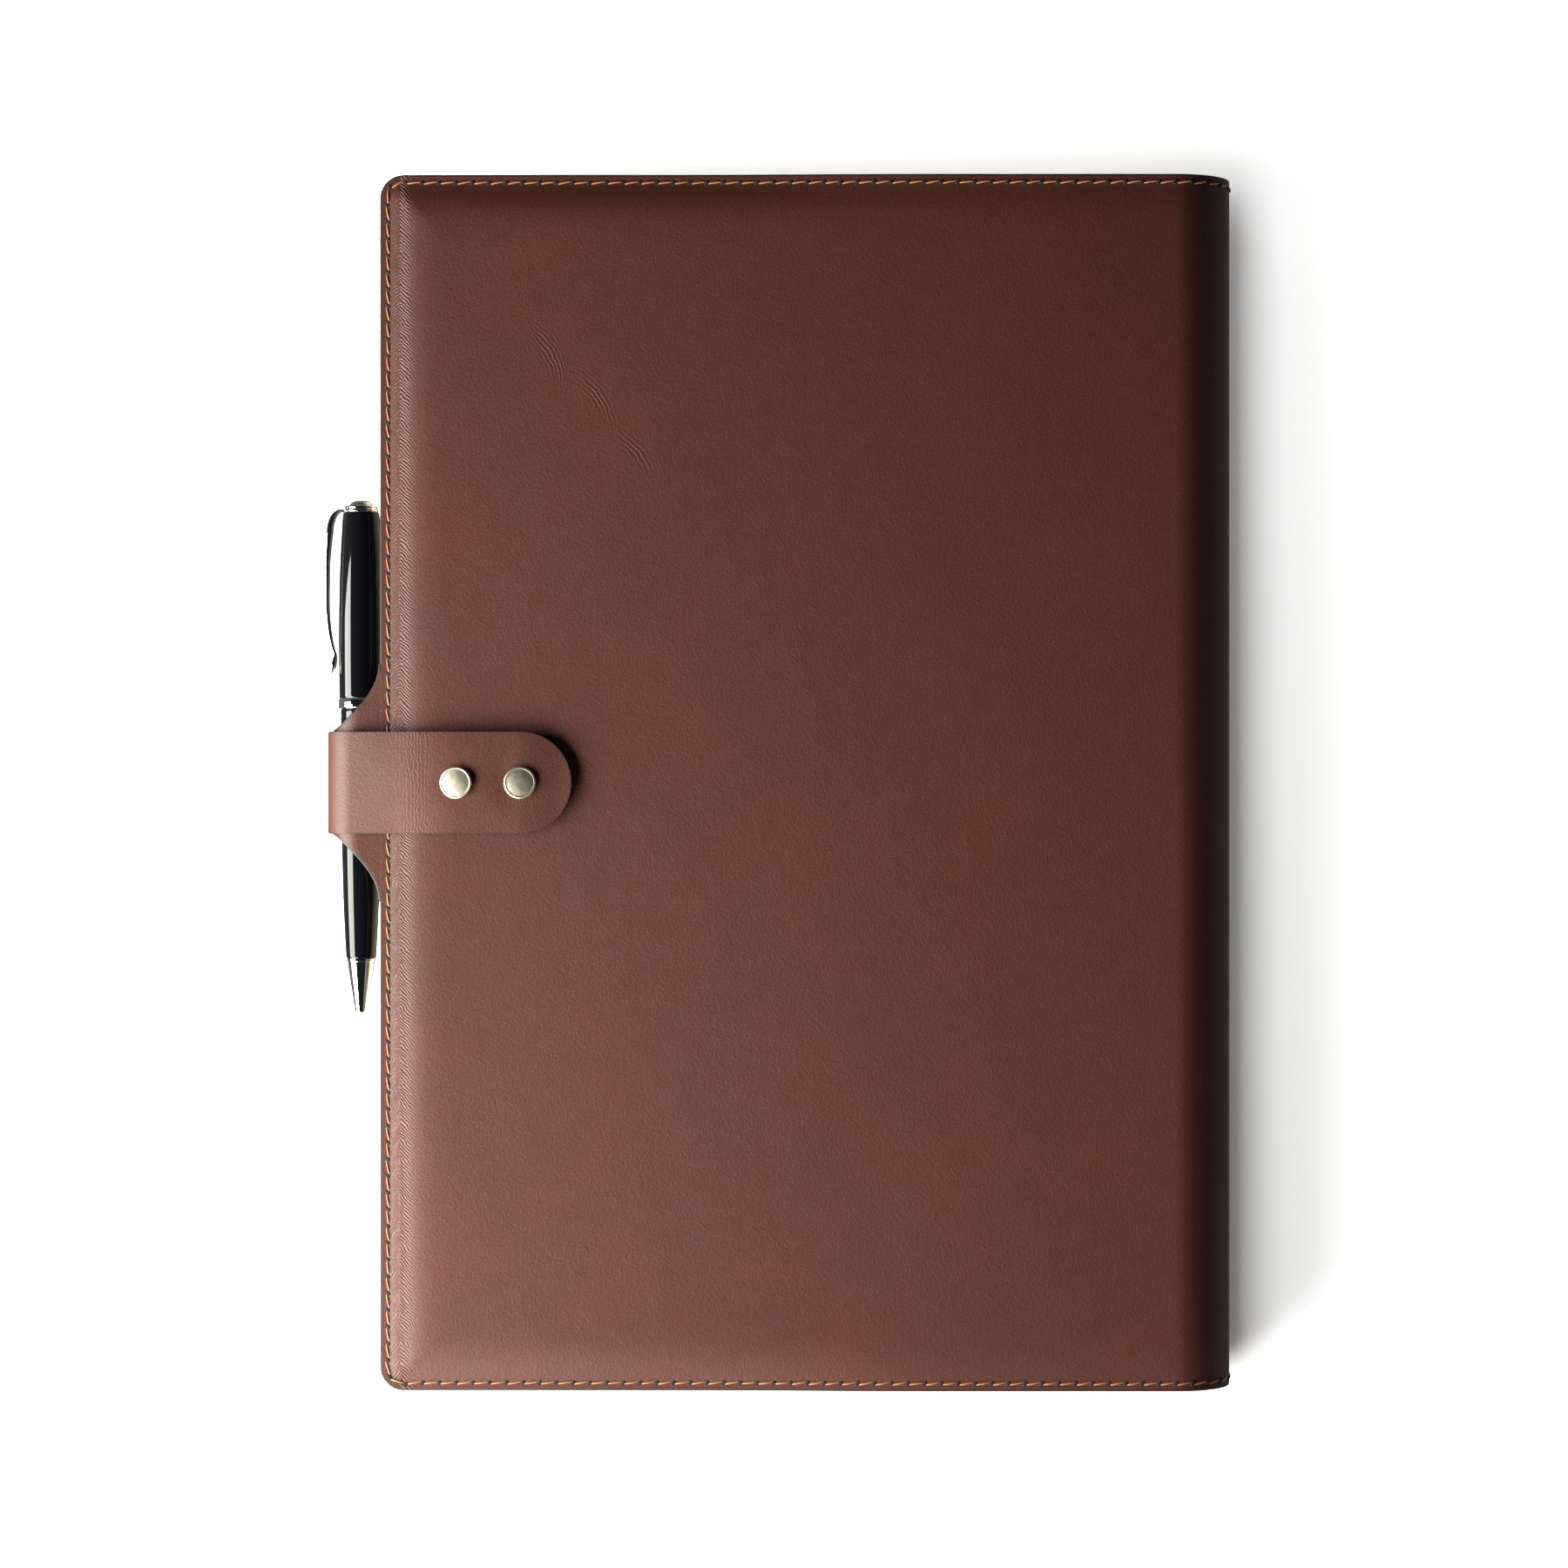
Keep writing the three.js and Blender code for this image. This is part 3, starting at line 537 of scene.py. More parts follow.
def outward(flat, loop):
    """Each border point's outward direction in the flat, long enough to keep the rim even."""
    here = flat[loop]
    ahead, behind = np.roll(here, -1, 0) - here, here - np.roll(here, 1, 0)
    ahead /= np.linalg.norm(ahead, axis=1)[:, None]
    behind /= np.linalg.norm(behind, axis=1)[:, None]
    mean = ahead + behind
    mean /= np.linalg.norm(mean, axis=1)[:, None]
    stretch = 1 / np.clip((mean * ahead).sum(1), 0.7, 1)
    return np.stack([mean[:, 1], -mean[:, 0]], 1) * stretch[:, None]


def leather_sheet(name, flat, faces, place, materials, butt=None, flip=False):
    """A closed sheet of leather. place(flat points, depth share) gives points in space, and
    butt(flat points) is true where an edge is cut square, to meet the next piece."""
    flat = np.asarray(flat, float)
    loop = outline_of(faces)
    normal = outward(flat, loop)
    if butt is not None:
        square = butt(flat[loop])
        ends = square & ~(np.roll(square, 1) & np.roll(square, -1))
        normal[square & ~ends] = 0
        normal[ends, 0] = 0
        normal[ends, 1] = np.sign(flat[loop][ends, 1])
    count, around = len(flat), len(loop)
    layers = [place(flat, 0.0)]
    uv = [flat]
    cut = KDTree(around)
    for k in np.flatnonzero(np.abs(normal).sum(1) > 0):
        cut.insert((*flat[loop[k]], 0), k)
    cut.balance()
    near = np.array([cut.find((x, y, 0))[2] for x, y in flat])
    edge = [np.clip(1 - near / STAIN, 0, 1)]
    for out, depth in RIM[1:-1]:
        moved = flat[loop] + normal * EASE * out
        layers.append(place(moved, depth))
        uv.append(moved + normal * depth)
        edge.append(np.full(around, 1.0))
    layers.append(place(flat, 1.0))
    uv.append(flat)
    edge.append(np.zeros(count))
    last = len(RIM) - 1

    def at(level, k):
        if level == 0:
            return loop[k]
        if level == last:
            return count + (last - 1) * around + loop[k]
        return count + (level - 1) * around + k

    rim = [
        (at(level, k), at(level + 1, k), at(level + 1, (k + 1) % around), at(level, (k + 1) % around))
        for level in range(last) for k in range(around)
    ]
    shift = count + (last - 1) * around
    every = list(faces) + rim + [tuple(i + shift for i in f[::-1]) for f in faces]
    if flip:
        every = [f[::-1] for f in every]
    points = np.concatenate(layers)
    border = np.concatenate(edge)
    if butt is not None:
        inner = square & ~ends
        for level in range(1, last):
            border[count + (level - 1) * around + np.flatnonzero(inner)] = 0
    piece = make_object(name, points, every, materials, uv=np.concatenate(uv), edge=border)
    crisp_edges(piece, 45)
    return piece


print("a rim has", len(RIM), "levels")

# %% [markdown]
# ## The two panels
#
# A panel's outer face is flat over the board and drops to the sewn margin round it. The
# board's edge shows through as a faint ridge. The drop is deepest at the fore-edge and the
# parts of head and tail where a pocket leaf is sewn in, and it fades towards the spine.

# %% Shape of a panel
SPINE_FADE = 70             # the end drop fades from the pocket's edge over this length, mm


def smooth(t):
    """Rises from 0 to 1 as t does, with a soft start and end."""
    t = np.clip(t, 0, 1)
    return t * t * (3 - 2 * t)


def slope_share(distance):
    """1 on the sewn margin, fading to 0 over the board, by distance from the cover's edge."""
    past = np.maximum(distance - SLOPE_FOOT, 0) / SLOPE_LENGTH
    return np.exp(-past ** 1.5)


def drop(x, y):
    """How far the hide's outer face lies inside the closed book's thickness."""
    end_drop = MARGIN_DROP + (SPINE_END_DROP - MARGIN_DROP) * smooth((x - POCKET_EDGE) / SPINE_FADE)
    fore = MARGIN_DROP * slope_share(x - FORE_EDGE)
    ends = end_drop * slope_share(HALF_LENGTH - np.abs(y))
    return np.minimum((fore ** 4 + ends ** 4) ** 0.25, MARGIN_DROP)


RIDGE_AT, RIDGE_HEIGHT, RIDGE_WIDTH = 5.65, 0.05, 0.3
WAVE_HEIGHT = 0.05


def ridge(x, y):
    """The faint line that the board's edge presses into the hide."""
    fore = np.exp(-((x - FORE_EDGE - RIDGE_AT) / RIDGE_WIDTH) ** 2)
    inside = smooth((HALF_LENGTH - np.abs(y) - 8) / 14)
    return RIDGE_HEIGHT * fore * inside


def wave(x, y):
    """A very slight unevenness of the stretched hide."""
    slow = np.sin(x / 23 + 1.3) * np.sin(y / 31 + 0.4) + 0.6 * np.sin(x / 11 - y / 17)
    over_board = smooth((x - FORE_EDGE - 9) / 20) * smooth((HALF_LENGTH - np.abs(y) - 9) / 20)
    return -WAVE_HEIGHT * (1 + slow / 1.6) * over_board * smooth((SPINE_SEAM - 2 - x) / 25)


def panel_place(is_upper, depth_from, depth_to, relief=True):
    """Places flat points of one layer of a panel, between two depths below its outer face."""
    def place(flat, share):
        x, y = flat[:, 0], flat[:, 1]
        depth = depth_from + (depth_to - depth_from) * share
        inside = drop(x, y) + depth
        if relief:
            inside = inside - (ridge(x, y) + wave(x, y)) * (1 - share)
        z = THICKNESS - inside if is_upper else inside
        return np.stack([x, y, z], 1)
    return place


def panel_grid(inset, right, fine=0.22):
    """Flat points of a panel, drawn in by inset, with round corners at the fore-edge."""
    left, end = FORE_EDGE + inset, HALF_LENGTH - inset
    radius = CORNER_RADIUS - inset
    xs = graded(left, right, fine, 4.0, 26)
    half = graded(-end, 0, fine * 1.6, 2.4, 26)
    ys = np.concatenate([half, -half[-2::-1]])
    x, y = np.meshgrid(xs, ys, indexing="ij")
    across, along = left + radius - x, np.abs(y) - (end - radius)
    corner = (across > 0) & (along > 0)
    new_across, new_along = round_corner(across[corner], along[corner], radius)
    x[corner] = left + radius - new_across
    y[corner] = np.sign(y[corner]) * (end - radius + new_along)
    return xs, ys, np.stack([x.ravel(), y.ravel()], 1)


def at_seam(flat):
    """True on the side that meets the spine."""
    return np.abs(flat[:, 0] - SPINE_SEAM) < 1e-6


print("drop at the margin:", float(drop(np.array(FORE_EDGE), np.array(0.0))), "mm")

# %% [markdown]
# ## The upper panel and its pen loop
#
# The loop isn't a separate strip. It is a tab of the same hide, which flares out of the
# fore-edge, passes over the pen, turns round it and comes back to the seam from below. So
# panel and tab are one sheet here: the tab's grid carries on from the panel's border, and a
# track in the XZ plane says where the tab goes.

# %% A track to lay leather along


class Track:
    """A line in the XZ plane to lay a strip along. Its outer side is to the left of the way
    it runs, or to the right if turn is -1."""

    def __init__(self, points, turn=1):
        self.points = np.asarray(points, float)
        steps = np.diff(self.points, axis=0)
        self.reach = np.concatenate([[0], np.cumsum(np.linalg.norm(steps, axis=1))])
        self.length = self.reach[-1]
        way = np.gradient(self.points, self.reach, axis=0)
        way /= np.linalg.norm(way, axis=1)[:, None]
        self.side = turn * np.stack([-way[:, 1], way[:, 0]], 1)

    def at(self, s):
        """Points and outward directions at distances s."""
        point = np.stack([np.interp(s, self.reach, self.points[:, k]) for k in (0, 1)], 1)
        side = np.stack([np.interp(s, self.reach, self.side[:, k]) for k in (0, 1)], 1)
        return point, side / np.linalg.norm(side, axis=1)[:, None]


def arc(cx, cz, radius, start, end, count=24):
    """Points round a centre, with angles in degrees."""
    angles = np.radians(np.linspace(start, end, count))
    return np.stack([cx + radius * np.cos(angles), cz + radius * np.sin(angles)], 1)


def bend(a, b, c, count=16):
    """Points of a quadratic curve from a to c that leans towards b."""
    t = np.linspace(0, 1, count)[:, None]
    a, b, c = (np.array(p, float) for p in (a, b, c))
    return (1 - t) ** 2 * a + 2 * t * (1 - t) * b + t ** 2 * c


def resampled(parts, step=0.2):
    """Joins stretches of points and spaces them evenly."""
    points = np.concatenate(parts)
    keep = np.concatenate([[True], np.linalg.norm(np.diff(points, axis=0), axis=1) > 1e-6])
    points = points[keep]
    reach = np.concatenate([[0], np.cumsum(np.linalg.norm(np.diff(points, axis=0), axis=1))])
    even = np.linspace(0, reach[-1], int(reach[-1] / step) + 1)
    return np.stack([np.interp(even, reach, points[:, k]) for k in (0, 1)], 1)


LOOP_OUTER = PEN_X - box_mm("pen_loop")[0].x
leave = PEN_X + LOOP_OUTER * math.cos(-math.pi / 6), PEN_Z + LOOP_OUTER * math.sin(-math.pi / 6)
return_z = box_mm("page_block")[1].z - LOOP_LEATHER
loop_track = Track(resampled([
    [(FORE_EDGE + EASE, PEN_Z + LOOP_OUTER)],
    arc(PEN_X, PEN_Z, LOOP_OUTER, 90, 330, 60),
    bend(leave, (leave[0] + 3.8, leave[1] + 5.6), (FORE_EDGE + 5.5, return_z)),
    [(FORE_EDGE + 7.5, return_z)],
]), turn=-1)
print("the tab is", round(loop_track.length, 1), "mm long")

# %% Outline of the tab
FLARE_HALF, LOOP_HALF = box_mm("pen_loop")[1].y, 14.0
FLARE_END = PEN_X - 6.4


def tab_half_width(x):
    """Half the tab's width over a place in plan: two hollow curves, then a plain band."""
    curve = bend((FORE_EDGE, FLARE_HALF), (FORE_EDGE - 0.3, 22.8), (FLARE_END, LOOP_HALF), 60)
    return np.interp(x, curve[::-1, 0], curve[::-1, 1])


def tab_width_along(s):
    """The same, by distance along the tab: past its outermost point it stays a plain band."""
    point, _ = loop_track.at(s)
    outermost = loop_track.reach[np.argmin(loop_track.points[:, 0])]
    return np.where(s < outermost, tab_half_width(point[:, 0]), LOOP_HALF)


print("tab half width at its root", round(float(tab_half_width(FORE_EDGE)), 1), "mm")

# %% Build the upper panel


def upper_place(flat, share):
    """Panel points lie in the panel, and points past its edge along the tab's track."""
    placed = panel_place(True, 0, LEATHER)(flat, share)
    s = FORE_EDGE + EASE - flat[:, 0]
    on_tab = s > 1e-6
    point, side = loop_track.at(np.clip(s, 0, loop_track.length))
    thick = LEATHER + (LOOP_LEATHER - LEATHER) * smooth(s / 3)
    laid = point - side * (thick * share)[:, None]
    placed[on_tab, 0] = laid[on_tab, 0]
    placed[on_tab, 2] = laid[on_tab, 1]
    return placed


def upper_sheet():
    """Flat points and faces of the panel with its tab."""
    xs, ys, flat = panel_grid(EASE, SPINE_SEAM)
    faces = grid_faces(len(xs), len(ys))
    root = [j for j, y in enumerate(ys) if abs(y) <= FLARE_HALF]
    stations = np.linspace(0, loop_track.length, 84)[1:]
    stations = np.concatenate([[0.12, 0.3], stations])
    widths = tab_width_along(stations) - EASE
    share = ys[root] / np.abs(ys[root]).max()
    points, previous = [flat], root
    start = len(flat)
    for s, half in zip(stations, widths):
        points.append(np.stack([np.full(len(root), FORE_EDGE + EASE - s), share * half], 1))
        current = list(range(start, start + len(root)))
        faces += [
            (current[k], previous[k], previous[k + 1], current[k + 1]) for k in range(len(root) - 1)
        ]
        previous, start = current, start + len(root)
    return np.concatenate(points), faces


upper_flat, upper_faces = upper_sheet()
leather_upper = leather_sheet("leather_upper", upper_flat, upper_faces, upper_place, [hide], butt=at_seam)
stand_for(leather_upper, "hide", "leather_upper", "pen_loop")
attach(leather_upper, "upper_cover")

# %% Build the lower panel
xs, ys, lower_flat = panel_grid(EASE, SPINE_SEAM)
leather_lower = leather_sheet(
    "leather_lower", lower_flat, grid_faces(len(xs), len(ys)), panel_place(False, 0, LEATHER), [hide],
    butt=at_seam, flip=True)
stand_for(leather_lower, "hide", "leather_lower")
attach(leather_lower, "lower_cover")

# %% [markdown]
# ## The spine
#
# Between the panels the hide bulges out in half an ellipse. It is a strip of its own here,
# because it turns on the spine's body. As the book opens flat, real leather straightens.

# %% Spine leather


def ellipse_arc(count=400):
    """Angles and arc lengths round the spine's outer face, from the upper seam to the lower."""
    angles = np.linspace(math.pi / 2, -math.pi / 2, count)
    x = SPINE_BULGE * np.cos(angles)
    z = THICKNESS / 2 * np.sin(angles)
    reach = np.concatenate([[0], np.cumsum(np.hypot(np.diff(x), np.diff(z)))])
    return angles, reach


SPINE_ANGLES, SPINE_REACH = ellipse_arc()


def spine_place(depth_from, depth_to):
    """Places flat points, whose x runs on past the upper seam, round the spine."""
    def place(flat, share):
        depth = depth_from + (depth_to - depth_from) * share
        angle = np.interp(flat[:, 0] - SPINE_SEAM, SPINE_REACH, SPINE_ANGLES)
        rise = THICKNESS / 2 - drop(np.full(len(flat), SPINE_SEAM), flat[:, 1]) - depth
        return np.stack([
            SPINE_SEAM + np.cos(angle) * (SPINE_BULGE - depth),
            flat[:, 1],
            THICKNESS / 2 + np.sin(angle) * rise], 1)
    return place


def spine_grid(inset):
    """Flat points and faces of a spine strip."""
    us = graded(SPINE_SEAM, SPINE_SEAM + SPINE_REACH[-1], 0.12, 0.8, 5, both_ends=True)
    half = graded(-(HALF_LENGTH - inset), 0, 0.35, 3.0, 26)
    vs = np.concatenate([half, -half[-2::-1]])
    u, v = np.meshgrid(us, vs, indexing="ij")
    return np.stack([u.ravel(), v.ravel()], 1), grid_faces(len(us), len(vs))


def at_spine_edges(flat):
    """True on the two sides that meet the panels."""
    far = SPINE_SEAM + SPINE_REACH[-1]
    return (np.abs(flat[:, 0] - SPINE_SEAM) < 1e-6) | (np.abs(flat[:, 0] - far) < 1e-6)


def on_spine(piece):
    """Puts a piece on the spine's body, with a mesh of its own."""
    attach(piece, "spine")
    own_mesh(piece)
    return piece


spine_flat, spine_faces = spine_grid(EASE)
leather_spine = leather_sheet(
    "leather_spine", spine_flat, spine_faces, spine_place(0, LEATHER), [hide], butt=at_spine_edges)
stand_for(leather_spine, "hide", "leather_spine")
on_spine(leather_spine)

# %% [markdown]
# ## Lining, pocket leaves and boards
#
# Thin tan leather lines the hide, and a leaf of it is sewn along three sides of each panel
# to make the pocket that a board slides into. These are the same kind of sheet, at other
# depths. The boards are greyboard in dark book cloth.

# %% Lining
LINING_FROM = LEATHER + 0.04
LINING_INSET = 0.25
LINING_SHORT = 1.1      # the lining stops short of the seam, so that it doesn't bunch in the hinge


def add_lining(side, is_upper, body):
    """The thin leather inside one panel."""
    xs, ys, flat = panel_grid(EASE + LINING_INSET, SPINE_SEAM - LINING_SHORT, fine=0.6)
    place = panel_place(is_upper, LINING_FROM, LINING_FROM + LINING, relief=False)
    piece = leather_sheet(
        f"lining_{side}", flat, grid_faces(len(xs), len(ys)), place, [lining_leather], flip=not is_upper)
    stand_for(piece, "lining", f"lining_{side}")
    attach(piece, body)


add_lining("upper", True, "upper_cover")
add_lining("lower", False, "lower_cover")
spine_flat, spine_faces = spine_grid(EASE + LINING_INSET)
lining_spine = leather_sheet(
    "lining_spine", spine_flat, spine_faces, spine_place(LINING_FROM, LINING_FROM + LINING),
    [lining_leather], butt=at_spine_edges)
stand_for(lining_spine, "lining", "lining_spine")
on_spine(lining_spine)

# %% Pocket leaves


def add_pocket(side, is_upper, body):
    """The leaf that holds one board."""
    low, high = box_mm(f"pocket_{side}")
    xs, ys, flat = panel_grid(EASE + LINING_INSET, POCKET_EDGE - EASE, fine=0.6)

    def place(points, share):
        z = high.z - (high.z - low.z) * share if is_upper else low.z + (high.z - low.z) * share
        return np.stack([points[:, 0], points[:, 1], np.full(len(points), z)], 1)

    piece = leather_sheet(
        f"pocket_{side}", flat, grid_faces(len(xs), len(ys)), place, [lining_leather], flip=not is_upper)
    stand_for(piece, "lining", f"pocket_{side}")
    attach(piece, body)


add_pocket("upper", True, "upper_cover")
add_pocket("lower", False, "lower_cover")

# %% Boards
BOARD_FROM = LINING_FROM + LINING + 0.1
SPINE_BOARD = 1.0


def block(low, high):
    """Points and faces of a plain box, in mm."""
    points = [(x, y, z) for x in (low[0], high[0]) for y in (low[1], high[1]) for z in (low[2], high[2])]
    faces = [(0, 1, 3, 2), (4, 6, 7, 5), (0, 4, 5, 1), (2, 3, 7, 6), (0, 2, 6, 4), (1, 5, 7, 3)]
    return np.array(points, float), faces


def bevelled(piece, width, segments=3):
    """Eases every sharp edge of a piece."""
    modifier = piece.modifiers.new("ease", "BEVEL")
    modifier.width = width * MM
    modifier.segments = segments
    modifier.harden_normals = False
    plain = bpy.data.meshes.new_from_object(piece.evaluated_get(bpy.context.evaluated_depsgraph_get()))
    piece.modifiers.clear()
    piece.data = plain
    return piece


def add_board(side, is_upper, body):
    """A board whose outer face is rounded off under the hide and whose inner face is flat."""
    low, high = box_mm(f"board_{side}")
    inner = THICKNESS - low.z if is_upper else high.z
    xs = graded(low.x + EASE, high.x - EASE, 0.5, 6.0, 26)
    half = graded(low.y + EASE, 0, 0.5, 6.0, 26)
    x, y = np.meshgrid(xs, np.concatenate([half, -half[-2::-1]]), indexing="ij")

    def place(flat, share):
        outer = drop(flat[:, 0], flat[:, 1]) + BOARD_FROM
        depth = outer + (inner - outer) * share
        return np.stack([flat[:, 0], flat[:, 1], THICKNESS - depth if is_upper else depth], 1)

    flat = np.stack([x.ravel(), y.ravel()], 1)
    piece = leather_sheet(f"board_{side}", flat, grid_faces(*x.shape), place, [cloth], flip=not is_upper)
    stand_for(piece, "board", f"board_{side}")
    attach(piece, body)


add_board("upper", True, "upper_cover")
add_board("lower", False, "lower_cover")

spine_flat, spine_faces = spine_grid(box_mm("board_spine")[0].y + HALF_LENGTH)
board_spine = leather_sheet(
    "board_spine", spine_flat, spine_faces, spine_place(BOARD_FROM, BOARD_FROM + SPINE_BOARD), [cloth],
    butt=at_spine_edges)
stand_for(board_spine, "board", "board_spine")
on_spine(board_spine)

# %% [markdown]
# ## The pages
#
# A sewn notebook is a stack of folded gatherings. Each is about a millimetre thick, and
# no two are trimmed quite alike, which is what the eye reads as paper. Geometry Nodes
# stack the gatherings: a line of points, a block on each, and a small seeded change of size.

# %% Geometry Nodes helpers


def new_geometry_tree(name, **inputs):
    """A Geometry Nodes tree with a geometry input and output and the named float inputs."""
    tree = bpy.data.node_groups.new(name, "GeometryNodeTree")
    tree.interface.new_socket("Geometry", in_out="INPUT", socket_type="NodeSocketGeometry")
    for key, value in inputs.items():
        socket = tree.interface.new_socket(key, in_out="INPUT", socket_type="NodeSocketFloat")
        socket.default_value = value
    tree.interface.new_socket("Geometry", in_out="OUTPUT", socket_type="NodeSocketGeometry")
    start = add_node(tree, "NodeGroupInput")
    return tree, {s.name: s for s in start.outputs}


def set_inputs(modifier, **values):
    """Sets a modifier's inputs by the identifiers of its tree's sockets."""
    for item in modifier.node_group.interface.items_tree:
        if item.item_type == "SOCKET" and item.in_out == "INPUT" and item.name in values:
            modifier[item.identifier] = values[item.name]


def grown(name, base, tree, **values):
    """Runs a tree on a base object and keeps the result as a plain mesh object."""
    modifier = base.modifiers.new("grow", "NODES")
    modifier.node_group = tree
    set_inputs(modifier, **values)
    shown = base.evaluated_get(bpy.context.evaluated_depsgraph_get())
    mesh = bpy.data.meshes.new_from_object(shown)
    mesh.name = name
    bpy.data.objects.remove(base)
    piece = bpy.data.objects.new(name, mesh)
    bpy.context.scene.collection.objects.link(piece)
    return piece


print("geometry helpers ready")

# %% Stack the gatherings
GATHERINGS = 16
LEAF_SHARE = 0.97           # the rest of each gathering's height is the groove to the next
stack, ports = new_geometry_tree("gatherings", Length=0.2, Width=0.3, Height=0.0175)
rise = add_node(stack, MATH, OVER, ports["Height"], float(GATHERINGS))
step = add_node(stack, "ShaderNodeCombineXYZ", Z=rise)
line = add_node(stack, "GeometryNodeMeshLine", {"Count": GATHERINGS}, Offset=step)
leaf_height = add_node(stack, MATH, TIMES, rise, LEAF_SHARE)
size = add_node(stack, "ShaderNodeCombineXYZ", X=ports["Length"], Y=ports["Width"], Z=leaf_height)
leaf = add_node(stack, "GeometryNodeMeshCube", Size=size)
uneven = add_node(stack, "FunctionNodeRandomValue", {
    "data_type": "FLOAT_VECTOR", 0: (0.9975, 0.9985, 1.0), 1: (1.0, 1.0, 1.0), "Seed": 7})
placed = add_node(stack, "GeometryNodeInstanceOnPoints",
                  Points=line, Instance=leaf, Scale=uneven)
real = add_node(stack, "GeometryNodeRealizeInstances", Geometry=placed)
painted = add_node(stack, "GeometryNodeSetMaterial", {"Material": paper}, Geometry=real)
add_node(stack, "NodeGroupOutput", Geometry=painted)

low, high = box_mm("page_block")
page_size = (high - low) * MM
page_block = grown("page_block", make_object("page_seed", np.zeros((1, 3)), [], []), stack,
                   Length=page_size.x, Width=page_size.y, Height=page_size.z)
first_leaf = Vector(((low.x + high.x) / 2, 0, low.z + (high.z - low.z) / GATHERINGS / 2)) * MM
for vertex in page_block.data.vertices:
    vertex.co += first_leaf
bevelled(page_block, 0.12, 2)
stand_for(page_block, "paper", "page_block")
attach(page_block, "lower_cover")

# %% [markdown]
# ## The strap
#
# The strap is sewn in under the lower panel's edge. It turns up beside the loop, goes round
# it and climbs on to the board, where its round end lies under the caps of the press studs.
# It moves in two places, so it is made as two sheets that meet where it is straight.

# %% The strap's track
strap_middle = PEN_X - box_mm("strap_wrap")[0].x - STRAP_LEATHER / 2     # radius of its middle
left = PEN_X - strap_middle
ROOT_BEND, ROOT_Z = 9.7, 4.15
FLAP_LENGTH = 36.9          # how much of the end lies along the panel
CLIMB_END = STRAP_END - FLAP_LENGTH
strap_mid_z = STRAP_TOP - STRAP_LEATHER / 2
climb = math.degrees(math.atan2(strap_mid_z - PEN_Z - strap_middle, CLIMB_END - PEN_X))
leave = arc(PEN_X, PEN_Z, strap_middle, 90 + climb, 90 + climb, 1)[0]
slope = np.array([CLIMB_END, strap_mid_z]) - leave
slope /= np.linalg.norm(slope)
strap_track = Track(resampled([
    [(FORE_EDGE + 3, ROOT_Z), (FORE_EDGE - 0.4, ROOT_Z)],
    bend((FORE_EDGE - 0.4, ROOT_Z), (FORE_EDGE - 1.5, ROOT_Z), (FORE_EDGE - 2.4, ROOT_Z + 0.15)),
    arc(left + ROOT_BEND, ROOT_Z + 0.25 + ROOT_BEND, ROOT_BEND, 270, 180),
    [(left, PEN_Z - 0.5)],
    arc(PEN_X, PEN_Z, strap_middle, 180, 90 + climb, 30),
    bend(np.array([CLIMB_END, strap_mid_z]) - slope * 7, (CLIMB_END, strap_mid_z),
         (CLIMB_END + 7, strap_mid_z)),
    [(STRAP_END, strap_mid_z)],
]))
print("the strap is", round(strap_track.length, 1), "mm long from seam to end")

# %% Strap leather
DENT_DEPTHS, DENT_OFFSETS = (0.16, 0.42), (0.6, -2.2)       # mm, at each press stud
DENT_LENGTH, DENT_WIDTH = 4.6, 5.2
TIP_DROOP, DROOP_LENGTH = 0.9, 15
STRAP_BOW = 0.4
PARED = 0.42                # how thin the sewn end is cut


def strap_relief(s, y):
    """Dents round the press studs, a droop to the round end and a slight bow across."""
    point, _ = strap_track.at(s)
    on_top = smooth((point[:, 0] - PEN_X) / 12)
    dents = sum(
        depth * np.exp(-(((point[:, 0] - snap.x - off) / DENT_LENGTH) ** 2 + (y / DENT_WIDTH) ** 2))
        for snap, depth, off in zip(SNAPS, DENT_DEPTHS, DENT_OFFSETS))
    droop = TIP_DROOP * smooth((point[:, 0] - SNAPS[1].x + 1.5) / DROOP_LENGTH)
    return -on_top * (dents + droop + STRAP_BOW * (y / STRAP_HALF) ** 2)


def strap_place(flat, share):
    """Places flat strap points: x is the distance along the strap from its sewn end."""
    s = np.clip(flat[:, 0], 0, strap_track.length)
    point, side = strap_track.at(s)
    over = (flat[:, 0] - s)[:, None] * np.stack([side[:, 1], -side[:, 0]], 1)
    thick = PARED + (STRAP_LEATHER - PARED) * smooth((s - 3.0) / 2.8)
    lift = thick * (0.5 - share) + strap_relief(s, flat[:, 1])
    laid = point + over + side * lift[:, None]
    return np.stack([laid[:, 0], flat[:, 1], laid[:, 1]], 1)


def strap_stretch(start, end, rounded):
    """Flat points and faces of the strap between two distances along it."""
    half = STRAP_HALF - EASE
    last = end - EASE if rounded else end
    us = np.linspace(start, last, int((last - start) / 0.7) + 1)
    edge = graded(-half, 0, 0.25, 1.1, 8)
    vs = np.concatenate([edge, -edge[-2::-1]])
    u, v = np.meshgrid(us, vs, indexing="ij")
    if rounded:
        tip = u > last - half
        new_u, new_v = round_corner(u[tip] - (last - half), np.abs(v[tip]), half)
        u[tip] = last - half + new_u
        v[tip] = np.sign(v[tip]) * new_v
    return np.stack([u.ravel(), v.ravel()], 1), grid_faces(len(us), len(vs))


SPLIT_HEIGHT = 16.2         # where the strap climbs straight, beside the pen
climbing = slice(60, 400)   # the points of the track there, whose heights only rise
straight = np.interp(SPLIT_HEIGHT, strap_track.points[climbing, 1], strap_track.reach[climbing])


